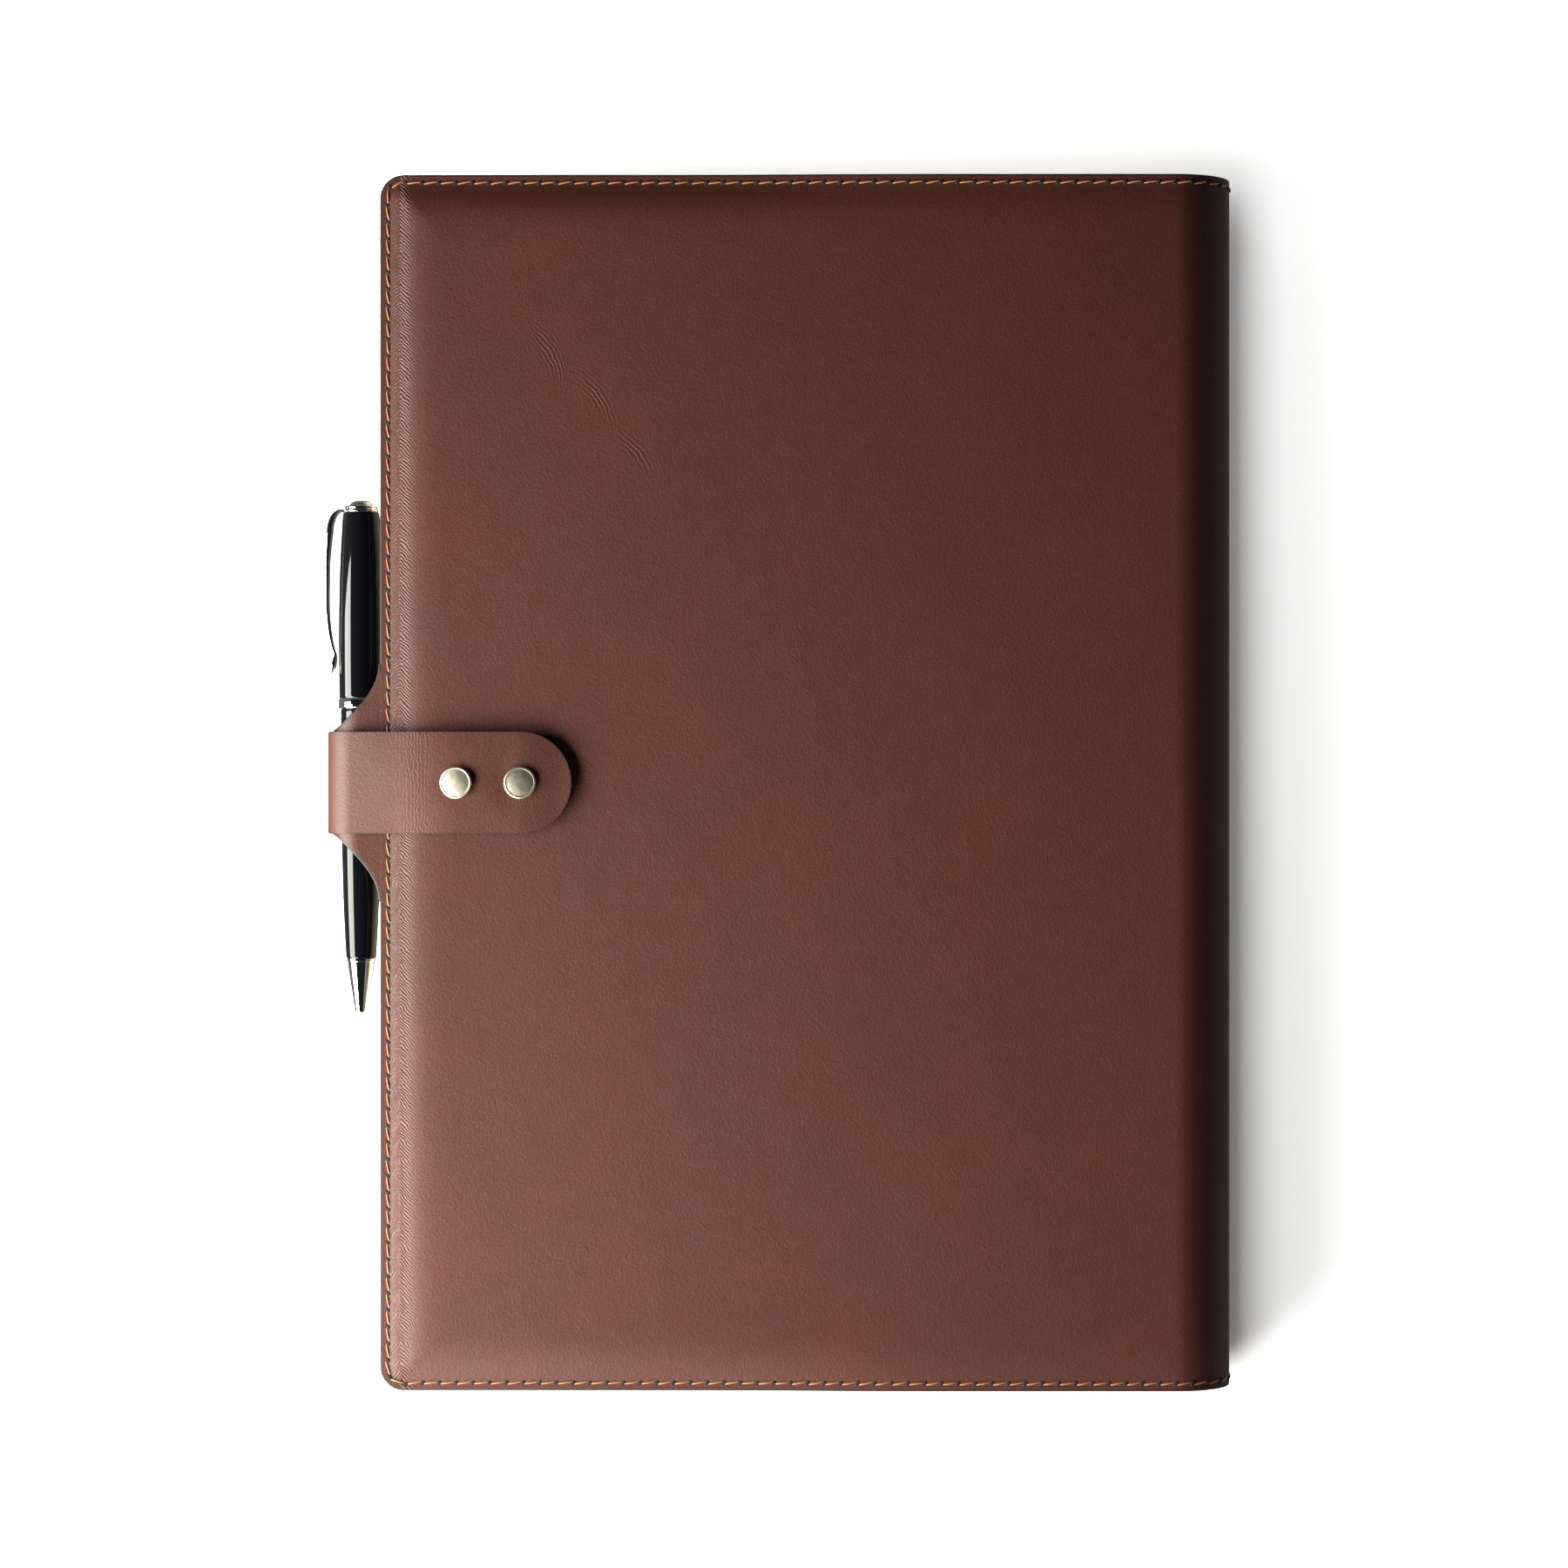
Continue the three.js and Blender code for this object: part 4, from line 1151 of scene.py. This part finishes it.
def strap_piece(name, start, end, rounded, *nodes):
    """One stretch of the strap as a sheet of leather, cut square where it meets the other."""
    flat, faces = strap_stretch(start, end, rounded)

    def cut(points):
        square = np.abs(points[:, 0] - start) < 1e-6
        return square if rounded else square | (np.abs(points[:, 0] - end) < 1e-6)

    piece = leather_sheet(name, flat, [f[::-1] for f in faces], strap_place, [strap_hide], butt=cut)
    return stand_for(piece, "hide", *nodes)


print("the strap is split", round(float(straight), 1), "mm along")

# %% Make both stretches of the strap
strap_lower = strap_piece("strap_lower", 0.0, straight, False, "strap_root")
strap_upper = strap_piece("strap_upper", straight, strap_track.length, True, "strap_wrap", "strap_flap")
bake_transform(strap_lower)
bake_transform(strap_upper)

# %% [markdown]
# The strap's own creases are upright flex lines, just past the loop, where it is bent each
# time the book is opened.

# %% Flex lines on the strap
FLEX_X, FLEX_HALF, FLEX_PITCH, FLEX_DEPTH = -93.5, 6.0, 0.95, 0.018     # mm
FLEX_WANDER, FLEX_WANDER_SIZE = 2.4, 2.2
going_in = slice(200, None)     # the points of the track past the loop, whose x only rises
strap_x = axes_in_mm(strap_tree, strap_flat)["X"]
flex_at = float(np.interp(FLEX_X, strap_track.points[going_in, 0], strap_track.reach[going_in]))
strap_wander = scaled(strap_tree, strap_flat, FLEX_WANDER_SIZE, Detail=2.0).outputs["Fac"]
flex_phase = joined(strap_tree, PLUS, strap_x, joined(strap_tree, TIMES, strap_wander, FLEX_WANDER))
flex = joined(strap_tree, TIMES,
              ripple(strap_tree, flex_phase, FLEX_PITCH), bell(strap_tree, strap_x, flex_at, FLEX_HALF))
strap_bump = add_node(strap_tree, "ShaderNodeBump", {"Strength": 1.0, "Distance": FLEX_DEPTH * MM},
                      Height=flex, Normal=strap_grain)
strap_tree.links.new(strap_shader.inputs["Normal"], strap_bump.outputs[0])
print("flex lines centred", round(flex_at, 1), "mm along the strap")

# %% [markdown]
# ## Stitches
#
# The seam is saddle-stitched. An awl pricks slanted holes 4.35 mm apart, and the thread
# crosses each gap at a slight slant and dives into the next hole. That repeats some
# hundreds of times, so Geometry Nodes do it: the seam's line becomes points one pitch
# apart. Each point gets an arched length of thread and, at its end, a flat near-black bead.
# The bead is painted shade that stands in for the hole, which isn't modelled.

# %% The stitch tree
STITCH_SPAN, THREAD_RADIUS, STITCH_RISE = 3.4, 0.25, 0.32       # mm
SLANT, SLANT_SPREAD = 0.17, 0.05        # radians, and how far a stitch strays from it
# These size and turn a dark bead that is painted shade, in place of a real hole.
HOLE_RADIUS, HOLE_SHAPE, HOLE_TURN = 0.5, (1.7, 1.1, 0.3), 0.85


def make_stitch_tree():
    """Stitches along a line of edges whose points hold the way the leather faces."""
    tree, ports = new_geometry_tree(
        "saddle_stitches", Pitch=STITCH_PITCH * MM, Span=STITCH_SPAN * MM, Radius=THREAD_RADIUS * MM,
        Rise=STITCH_RISE * MM, Slant=SLANT)
    curve = add_node(tree, "GeometryNodeMeshToCurve", Mesh=ports["Geometry"])
    dots = add_node(tree, "GeometryNodeCurveToPoints", {"mode": "LENGTH"},
                    Curve=curve, Length=ports["Pitch"])
    facing = add_node(tree, "GeometryNodeInputNamedAttribute", {
        "data_type": "FLOAT_VECTOR", "Name": "facing"})
    along = add_node(tree, "FunctionNodeAlignRotationToVector", {"axis": "X"},
                     Vector=dots.outputs["Tangent"])
    level = add_node(tree, "FunctionNodeAlignRotationToVector", {"axis": "Z", "pivot_axis": "X"},
                     Rotation=along, Vector=facing.outputs["Attribute"])
    chance = add_node(tree, "FunctionNodeRandomValue", {
        "data_type": "FLOAT", 2: -SLANT_SPREAD, 3: SLANT_SPREAD, "Seed": 11})
    lean = add_node(tree, MATH, PLUS, chance.outputs[1], ports["Slant"])
    twist = add_node(tree, "ShaderNodeCombineXYZ", Z=lean)
    turn = add_node(tree, "FunctionNodeEulerToRotation", Euler=twist)
    slanted = add_node(tree, "FunctionNodeRotateRotation", {"rotation_space": "LOCAL"},
                       Rotation=level, Rotate_By=turn)
    half = add_node(tree, MATH, TIMES, ports["Span"], 0.5)
    back = add_node(tree, MATH, TIMES, ports["Span"], -0.5)
    sunk = add_node(tree, MATH, TIMES, ports["Radius"], -0.7)
    top = add_node(tree, MATH, TIMES, ports["Rise"], 1.2)
    first = add_node(tree, "ShaderNodeCombineXYZ", X=back, Z=sunk)
    crest = add_node(tree, "ShaderNodeCombineXYZ", Z=top)
    final = add_node(tree, "ShaderNodeCombineXYZ", X=half, Z=sunk)
    arch = add_node(tree, "GeometryNodeCurveQuadraticBezier", {"Resolution": 8},
                    Start=first, Middle=crest, End=final)
    ring = add_node(tree, "GeometryNodeCurvePrimitiveCircle", {"Resolution": 8}, Radius=ports["Radius"])
    cord = add_node(tree, "GeometryNodeCurveToMesh", {"Fill Caps": True},
                    Curve=arch, Profile_Curve=ring)
    sewn = add_node(tree, "GeometryNodeInstanceOnPoints", Points=dots.outputs["Points"],
                    Instance=cord, Rotation=slanted)
    sewn_real = add_node(tree, "GeometryNodeRealizeInstances", Geometry=sewn)
    sewn_painted = add_node(tree, "GeometryNodeSetMaterial", {"Material": thread}, Geometry=sewn_real)
    # Half a pitch ahead of each stitch goes a flat near-black bead: painted shade where the awl hole would
    # be.
    gap = add_node(tree, MATH, TIMES, ports["Pitch"], 0.5)
    ahead = add_node(tree, "ShaderNodeVectorMath", {"operation": "SCALE"},
                     __0=dots.outputs["Tangent"], Scale=gap)
    moved = add_node(tree, "GeometryNodeSetPosition", Geometry=dots.outputs["Points"], Offset=ahead)
    bead = add_node(tree, "GeometryNodeMeshUVSphere", {
        "Segments": 10, "Rings": 6, "Radius": HOLE_RADIUS * MM})
    slit = add_node(tree, "FunctionNodeEulerToRotation", {0: (0.0, 0.0, HOLE_TURN)})
    slit_turn = add_node(tree, "FunctionNodeRotateRotation", {"rotation_space": "LOCAL"},
                         Rotation=level, Rotate_By=slit)
    hole_shade_beads = add_node(tree, "GeometryNodeInstanceOnPoints", {"Scale": HOLE_SHAPE},
                       Points=moved, Instance=bead, Rotation=slit_turn)
    hole_shade_real = add_node(tree, "GeometryNodeRealizeInstances", Geometry=hole_shade_beads)
    hole_shade_painted = add_node(tree, "GeometryNodeSetMaterial", {"Material": painted_hole_shade},
                               Geometry=hole_shade_real)
    both = add_node(tree, "GeometryNodeJoinGeometry")
    tree.links.new(both.inputs[0], sewn_painted.outputs[0])
    tree.links.new(both.inputs[0], hole_shade_painted.outputs[0])
    rounded = add_node(tree, "GeometryNodeSetShadeSmooth", Geometry=both)
    add_node(tree, "NodeGroupOutput", Geometry=rounded)
    return tree


stitch_tree = make_stitch_tree()
print("stitch tree has", len(stitch_tree.nodes), "nodes")

# %% The seam's lines
PANEL_STITCH_LIFT, SPINE_STITCH_LIFT = 0.03, 0.02       # mm above the leather


def panel_seam(is_upper, inset=STITCH_INSET, step=0.5):
    """The seam of a panel: along the head to the fore-edge, down it and back along the tail."""
    left, end = FORE_EDGE + inset, HALF_LENGTH - inset
    radius = CORNER_RADIUS - inset
    head = [(SPINE_SEAM - STITCH_PITCH / 2, end), (left + radius, end)]
    corner_one = arc(left + radius, end - radius, radius, 90, 180, 12)
    corner_two = arc(left + radius, -end + radius, radius, 180, 270, 12)
    tail = [(left + radius, -end), (SPINE_SEAM - STITCH_PITCH / 2, -end)]
    line = resampled([head, corner_one, corner_two, tail], step)
    x, y = line[:, 0], line[:, 1]
    z = drop(x, y) - PANEL_STITCH_LIFT
    slope_x = (drop(x + 0.1, y) - drop(x - 0.1, y)) / 0.2
    slope_y = (drop(x, y + 0.1) - drop(x, y - 0.1)) / 0.2
    facing = np.stack([slope_x, slope_y, np.ones(len(x))], 1)
    if is_upper:
        return np.stack([x, y, THICKNESS - z], 1), facing
    return np.stack([x, y, z], 1)[::-1], (facing * (1, 1, -1))[::-1]


def spine_seam(sign):
    """The seam round the spine at the head (sign 1) or the tail (sign -1)."""
    s = np.linspace(STITCH_PITCH / 2, SPINE_REACH[-1] - STITCH_PITCH / 2, 90)
    flat = np.stack([SPINE_SEAM + s, np.full(len(s), sign * (HALF_LENGTH - STITCH_INSET))], 1)
    points = spine_place(-SPINE_STITCH_LIFT, 0)(flat, 0.0)
    inner = spine_place(1.0, 2.0)(flat, 0.0)
    facing = points - inner
    return (points[::-1], facing[::-1]) if sign > 0 else (points, facing)


def add_seam(name, line, facing):
    """Sews along a line, with a whole number of stitches."""
    facing = facing / np.linalg.norm(facing, axis=1)[:, None]
    base = make_object("seam_line", line, [], [])
    base.data.edges.add(len(line) - 1)
    pairs = np.stack([np.arange(len(line) - 1), np.arange(1, len(line))], 1).astype(np.int32)
    base.data.edges.foreach_set("vertices", pairs.ravel())
    attribute = base.data.attributes.new("facing", "FLOAT_VECTOR", "POINT")
    attribute.data.foreach_set("vector", facing.astype(np.float32).ravel())
    base.data.update()
    length = np.linalg.norm(np.diff(line, axis=0), axis=1).sum()
    pitch = length / round(length / STITCH_PITCH)
    piece = grown(name, base, stitch_tree, Pitch=pitch * MM * 0.99999, Slant=SLANT)
    stand_for(piece, "thread", name)
    print("  ", round(length / pitch), "stitches,", round(pitch, 2), "mm apart")
    return piece


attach(add_seam("thread_upper", *panel_seam(True)), "upper_cover")
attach(add_seam("thread_lower", *panel_seam(False)), "lower_cover")
on_spine(add_seam("thread_spine_head", *spine_seam(1)))
on_spine(add_seam("thread_spine_tail", *spine_seam(-1)))

# %% [markdown]
# ## Turned metal
#
# Press studs and the pen are turned parts. A profile of radii and heights is spun round an
# axis. Long curves are drawn through a few points with a smooth spline, and short flats and
# shoulders are given point by point.

# %% Turning helper


def spline(points, count=14):
    """A smooth line through points: Catmull-Rom, with count steps between two points."""
    p = np.array([points[0], *points, points[-1]], float)
    out = []
    for a, b, c, d in zip(p, p[1:], p[2:], p[3:]):
        t = np.linspace(0, 1, count, endpoint=False)[:, None]
        out.append(0.5 * (2 * b + (c - a) * t + (2 * a - 5 * b + 4 * c - d) * t ** 2
                          + (3 * b - a - 3 * c + d) * t ** 3))
    return np.concatenate([*out, p[-1:]])


def spin(profile, centre, axis="Z", sides=72):
    """Points and faces of a profile of (radius, height) spun round an axis through centre.
    The profile runs from the bottom to the top, or closes on itself."""
    profile = np.asarray(profile, float)
    closed = np.allclose(profile[0], profile[-1])
    rows = profile[:-1] if closed else profile
    angles = np.linspace(0, 2 * math.pi, sides, endpoint=False)
    points = []
    for radius, height in rows:
        c, s = radius * np.cos(angles), radius * np.sin(angles)
        h = np.full(sides, height)
        points.append(np.stack([c, s, h], 1) if axis == "Z" else np.stack([s, h, c], 1))
    points = np.concatenate(points) + np.array(centre)
    last = len(rows) if closed else len(rows) - 1
    faces = [
        (i * sides + k, i * sides + (k + 1) % sides,
         (i + 1) % len(rows) * sides + (k + 1) % sides, (i + 1) % len(rows) * sides + k)
        for i in range(last) for k in range(sides)
    ]
    if not closed:
        faces.append(tuple(range(sides))[::-1])
        top = (len(rows) - 1) * sides
        faces.append(tuple(top + k for k in range(sides)))
    return points, faces


def add_turned(name, profile, centre, body, slot, material, axis="Z"):
    """A turned piece on its body, for the CAD node of the same name."""
    points, faces = spin(profile, centre, axis)
    piece = make_object(name, points, faces, [material])
    crisp_edges(piece)
    stand_for(piece, slot, name)
    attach(piece, body)
    return piece


print("turning helper ready")

# %% [markdown]
# A press stud is four pieces. The domed cap has a rolled rim and a tube set through the
# strap, which holds the socket under it. The stud stands on the cover, held by a rivet
# from behind.

# %% Press studs
SHANK = 1.2
CAP_TILTS = (0.13, -0.03)   # each cap leans the way its strap is pulled, as a slope
CAP_SIDE_TILT = 0.03
under = STRAP_TOP - STRAP_LEATHER

for number, snap in enumerate(SNAPS, 1):
    centre = (snap.x, 0, 0)
    cap = [(0.01, under), (SHANK, under), (SHANK, STRAP_TOP - 0.12), (4.0, STRAP_TOP - 0.12)]
    cap += [(r, STRAP_TOP + h) for r, h in spline([
        (4.0, -0.10), (4.18, 0.12), (4.2, 0.36), (4.08, 0.62), (3.82, 0.76), (3.5, 0.72),
        (3.25, 0.76), (2.3, 0.93), (1.2, 1.05), (0.01, 1.1)], 6)]
    cap_piece = add_turned(f"snap_cap_{number}", cap, centre, "strap_end", "nickel", nickel)
    for vertex in cap_piece.data.vertices:
        vertex.co.z += CAP_TILTS[number - 1] * (vertex.co.x - snap.x * MM) + CAP_SIDE_TILT * vertex.co.y
    top = under - 0.02
    socket = [(2.3, top - 1.15), (3.5, top - 1.15), (3.8, top - 1.0), (4.05, top - 0.6), (4.1, top - 0.2),
              (4.1, top), (2.3, top), (2.3, top - 1.15)]
    add_turned(f"snap_socket_{number}", socket, centre, "strap_end", "nickel", nickel)
    stud = [(1.25, THICKNESS), (3.6, THICKNESS), (3.7, THICKNESS + 0.12), (3.6, THICKNESS + 0.33),
            (1.75, THICKNESS + 0.45), (1.55, THICKNESS + 0.6), (1.7, THICKNESS + 0.95),
            (1.62, THICKNESS + 1.25), (1.25, THICKNESS + 1.35), (1.25, THICKNESS)]
    add_turned(f"snap_stud_{number}", stud, centre, "upper_cover", "nickel", nickel)
    behind = THICKNESS - LEATHER - 0.1
    rivet = [(0.01, behind - 0.45), (3.5, behind - 0.45), (3.7, behind - 0.3), (3.7, behind),
             (SHANK, behind), (SHANK, THICKNESS + 1.1), (0.8, THICKNESS + 1.2), (0.01, THICKNESS + 1.2)]
    add_turned(f"snap_rivet_{number}", rivet, centre, "upper_cover", "nickel", nickel)

# %% [markdown]
# ## The pen
#
# A twist ballpoint: black lacquered barrels that swell and taper, a chromed ring between
# them, a stepped nose cone with the refill inside it, and a finial that clamps the clip.

# %% Pen barrels and fittings
pen_axis = (PEN_X, 0, PEN_Z)
ring_from, ring_to = ring_low.y, ring_high.y
plate = (box_mm("pen_clip_collar")[0].y + box_mm("pen_clip_collar")[1].y) / 2
finial_top = box_mm("pen_finial")[1].y
nose_tip, nose_top = box_mm("pen_nose")[0].y, box_mm("pen_nose")[1].y


def add_pen_part(name, profile, body, slot, material):
    """A turned piece on the pen's own axis."""
    add_turned(name, profile, pen_axis, body, slot, material, axis="Y")


upper_curve = spline([
    (5.72, ring_to + 0.25), (5.85, 34), (5.8, 46), (5.5, 58), (4.95, 68), (4.72, plate - 0.75)])
add_pen_part("pen_barrel_upper", [
    (0.01, ring_to + 0.1), (5.6, ring_to + 0.1), *upper_curve, (4.6, plate - 0.5), (0.01, plate - 0.5)],
    "pen_top", "lacquer", lacquer)
add_pen_part("pen_ring", [
    (0.01, ring_from), (5.6, ring_from), (5.8, ring_from + 0.12), (5.9, ring_from + 0.35),
    (5.9, ring_from + 0.85), (5.78, ring_from + 0.95), (5.78, ring_from + 1.05), (5.9, ring_from + 1.15),
    (5.9, ring_to - 0.35), (5.8, ring_to - 0.12), (5.6, ring_to), (0.01, ring_to)],
    "pen_top", "pen_chrome", chrome)
lower_curve = spline([
    (3.95, nose_top + 0.3), (4.35, -38), (4.7, -30), (5.05, -16), (5.3, 4), (5.33, ring_from - 0.4)])
add_pen_part("pen_barrel_lower", [
    (2.4, nose_top + 0.1), (3.85, nose_top + 0.1), *lower_curve, (5.22, ring_from - 0.1),
    (2.4, ring_from - 0.1), (2.4, nose_top + 0.1)], "pen", "lacquer", lacquer)
nose_curve = spline([
    (1.55, nose_tip + 0.5), (2.05, nose_tip + 3.4), (2.6, -53.5), (3.25, -49.2), (3.55, nose_top - 0.9)])
add_pen_part("pen_nose", [
    (1.1, nose_tip), (1.35, nose_tip), (1.5, nose_tip + 0.15), *nose_curve, (3.72, nose_top - 0.8),
    (3.75, nose_top - 0.1), (3.6, nose_top), (2.0, nose_top), (2.0, -56), (1.1, -56.4), (1.1, nose_tip)],
    "pen", "pen_chrome", chrome)
refill_low, refill_high = box_mm("pen_refill")
add_pen_part("pen_refill", [
    (0.01, refill_low.y), (0.3, refill_low.y + 0.1), (0.42, refill_low.y + 0.5), (0.85, refill_low.y + 1.6),
    (0.85, refill_low.y + 7), (1.6, refill_low.y + 7.4), (1.6, refill_high.y), (0.01, refill_high.y)],
    "refill", "refill_brass", brass)
base = plate + 0.42
bead_curve = spline([(4.2, base + 0.08), (4.27, base + 0.4), (4.1, base + 0.75), (3.7, base + 0.9)], 5)
dome_curve = spline([(3.0, base + 1.1), (2.7, base + 1.6), (1.7, finial_top - 0.16), (0.01, finial_top)], 8)
add_pen_part("pen_finial", [
    (0.01, base), (4.1, base), *bead_curve, (3.15, base + 0.92), (3.0, base + 1.05), *dome_curve],
    "pen_top", "pen_chrome", chrome)

# %% [markdown]
# The clip is a sprung strip of steel, chromed. It is a rounded bar swept along a line in
# the pen's own plane: out from the collar, down beside the barrel, in to touch it, and out
# again at the tip.

# %% Clip


def sweep_bar(line, width, thick):
    """Points and faces of a rounded bar along a line of (x, y), width along Z."""
    line = np.asarray(line, float)
    way = np.gradient(line, axis=0)
    way /= np.linalg.norm(way, axis=1)[:, None]
    side = np.stack([-way[:, 1], way[:, 0]], 1)
    angles = np.linspace(0, 2 * math.pi, 32, endpoint=False)
    ring = [
        (np.sign(math.cos(a)) * abs(math.cos(a)) ** 0.7, np.sign(math.sin(a)) * abs(math.sin(a)) ** 0.55)
        for a in angles]
    wide, deep = (np.broadcast_to(v, len(line)) / 2 for v in (width, thick))
    points = [
        (p[0] + s[0] * u * t, p[1] + s[1] * u * t, v * w)
        for p, s, w, t in zip(line, side, wide, deep) for u, v in ring]
    count = len(ring)
    faces = [
        (i * count + k, (i + 1) * count + k, (i + 1) * count + (k + 1) % count, i * count + (k + 1) % count)
        for i in range(len(line) - 1) for k in range(count)]
    faces.append(tuple(range(count)))
    faces.append(tuple((len(line) - 1) * count + k for k in range(count))[::-1])
    return np.array(points), faces


CLIP_OUT = PEN_X - box_mm("pen_clip")[0].x - 0.65
clip_line = resampled([
    [(-5.3, plate)],
    bend((-5.6, plate - 0.05), (-7.7, plate - 0.9), (-8.15, plate - 5), 20),
    bend((-8.15, plate - 5), (-8.6, plate - 9), (-CLIP_OUT, plate - 15), 20),
    [(-CLIP_OUT, 48)],
    bend((-CLIP_OUT, 48), (-CLIP_OUT + 0.1, 39), (-6.95, 34), 30),
    bend((-6.95, 34), (-6.4, 32.2), (-8.0, 28.7), 24),
], 0.3)
clip_reach = np.linspace(0, 1, len(clip_line))
clip_thick = np.interp(clip_reach, [0, 0.06, 0.16, 0.35, 0.75, 0.86, 0.9, 0.96, 1],
                       [0.8, 1.6, 1.9, 1.4, 1.1, 0.8, 1.0, 1.6, 0.5])
clip_wide = np.interp(clip_reach, [0, 0.75, 0.88, 0.95, 1], [3.3, 2.6, 2.4, 2.8, 1.2])
clip_points, clip_faces = sweep_bar(clip_line, clip_wide, clip_thick)
pen_clip = make_object("pen_clip", clip_points + np.array(pen_axis), clip_faces, [chrome])
crisp_edges(pen_clip, 50)
stand_for(pen_clip, "pen_chrome", "pen_clip")
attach(pen_clip, "clip")

collar_disc = spin([(0.01, plate - 0.4), (4.45, plate - 0.4), (4.55, plate - 0.28), (4.55, plate + 0.22),
                    (4.45, plate + 0.34), (0.01, plate + 0.34)], (0, 0, 0), "Y")
collar_arm = sweep_bar([(-3.0, plate), (-4.2, plate), (-5.2, plate)], 3.3, 0.74)
collar_points, collar_faces = join_meshes([collar_disc, collar_arm])
collar = make_object("pen_clip_collar", collar_points + np.array(pen_axis), collar_faces, [chrome])
crisp_edges(collar, 50)
stand_for(collar, "pen_chrome", "pen_clip_collar")
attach(collar, "pen_top")

# %% [markdown]
# ## Floor, light and camera
#
# The cover lies on a white table and is seen from straight above. The light on it is one
# big soft panel, low on the left, with a little more from the near side, and a dim white
# surround fills the shadows. A panel that low leaves a table grey, so two more light the
# table alone, by Blender's light linking. The table is also kept out of mirror rays, which
# would turn the sides of the shiny parts white.

# %% Floor
FLOOR_HALF, FLOOR_DEPTH = 4000.0, 20.0
floor_material = make_simple("white_table", "#ffffff", 0.9, 30.0, colour_two="#fdfdfd")
slab = block((-FLOOR_HALF, -FLOOR_HALF, -FLOOR_DEPTH), (FLOOR_HALF, FLOOR_HALF, 0.0))
floor = make_object("floor", *slab, [floor_material])
floor.data.polygons.foreach_set("use_smooth", np.zeros(len(floor.data.polygons), bool))
floor.visible_glossy = False      # the shiny parts mirror the panels, not the table
print("floor laid")

# %% Surround
HORIZON_LIGHT, ZENITH_LIGHT = 0.2, 0.015
world = bpy.data.worlds.new("surround")
bpy.context.scene.world = world
world.use_nodes = True
sky = world.node_tree
direction = add_node(sky, "ShaderNodeTexCoord").outputs["Generated"]
height = add_node(sky, "ShaderNodeSeparateXYZ", None, direction).outputs["Z"]
dim = add_node(sky, "ShaderNodeMapRange", {1: 0.0, 2: 0.75, 3: HORIZON_LIGHT, 4: ZENITH_LIGHT}, height)
sky.links.new(sky.nodes["Background"].inputs["Strength"], dim.outputs[0])
sky.nodes["Background"].inputs["Color"].default_value = linear("#fffaf4")
print("surround:", world.name)

# %% Soft panels
table_only = bpy.data.collections.new("table_only")
table_only.objects.link(floor)


def add_panel_light(name, place, aim, size, power, colour="#ffffff", only=None):
    """A rectangular soft light at place, in mm, turned to aim. If only is given, it lights
    nothing outside that collection."""
    data = bpy.data.lights.new(name, "AREA")
    data.shape = "RECTANGLE"
    data.size, data.size_y = size[0] * MM, size[1] * MM
    data.energy = power
    data.color = linear(colour)[:3]
    lamp = bpy.data.objects.new(name, data)
    bpy.context.scene.collection.objects.link(lamp)
    lamp.location = Vector(place) * MM
    lamp.rotation_euler = (Vector(aim) - Vector(place)).to_track_quat("-Z", "Y").to_euler()
    if only:
        lamp.light_linking.receiver_collection = only


add_panel_light("left_panel", (-455, -235, 218), (-60, -40, 20), (770, 330), 18.2, "#fffcef")
add_panel_light("near_panel", (0, -480, 320), (0, 0, 20), (800, 300), 0.25, "#fffcef")
add_panel_light("table_panel", (-350, 0, 900), (0, 0, 0), (900, 500), 7.0, only=table_only)
add_panel_light("table_far_panel", (0, 600, 500), (0, 100, 0), (900, 400), 3.5, only=table_only)

# %% Camera
CAMERA_HEIGHT, LENS, SENSOR = 900.0, 79.74, 36.0
OFF_CENTRE = (1.43, -0.34)      # where over the cover it stands, mm
camera_data = bpy.data.cameras.new("camera")
camera_data.lens = LENS
camera_data.sensor_width = SENSOR
camera_data.clip_start, camera_data.clip_end = 0.05, 20.0
camera = bpy.data.objects.new("camera", camera_data)
bpy.context.scene.collection.objects.link(camera)
camera.location = Vector((*OFF_CENTRE, THICKNESS + CAMERA_HEIGHT)) * MM
bpy.context.scene.camera = camera
bpy.context.scene.view_settings.view_transform = "Standard"
print("camera at", [round(c, 3) for c in camera.location])
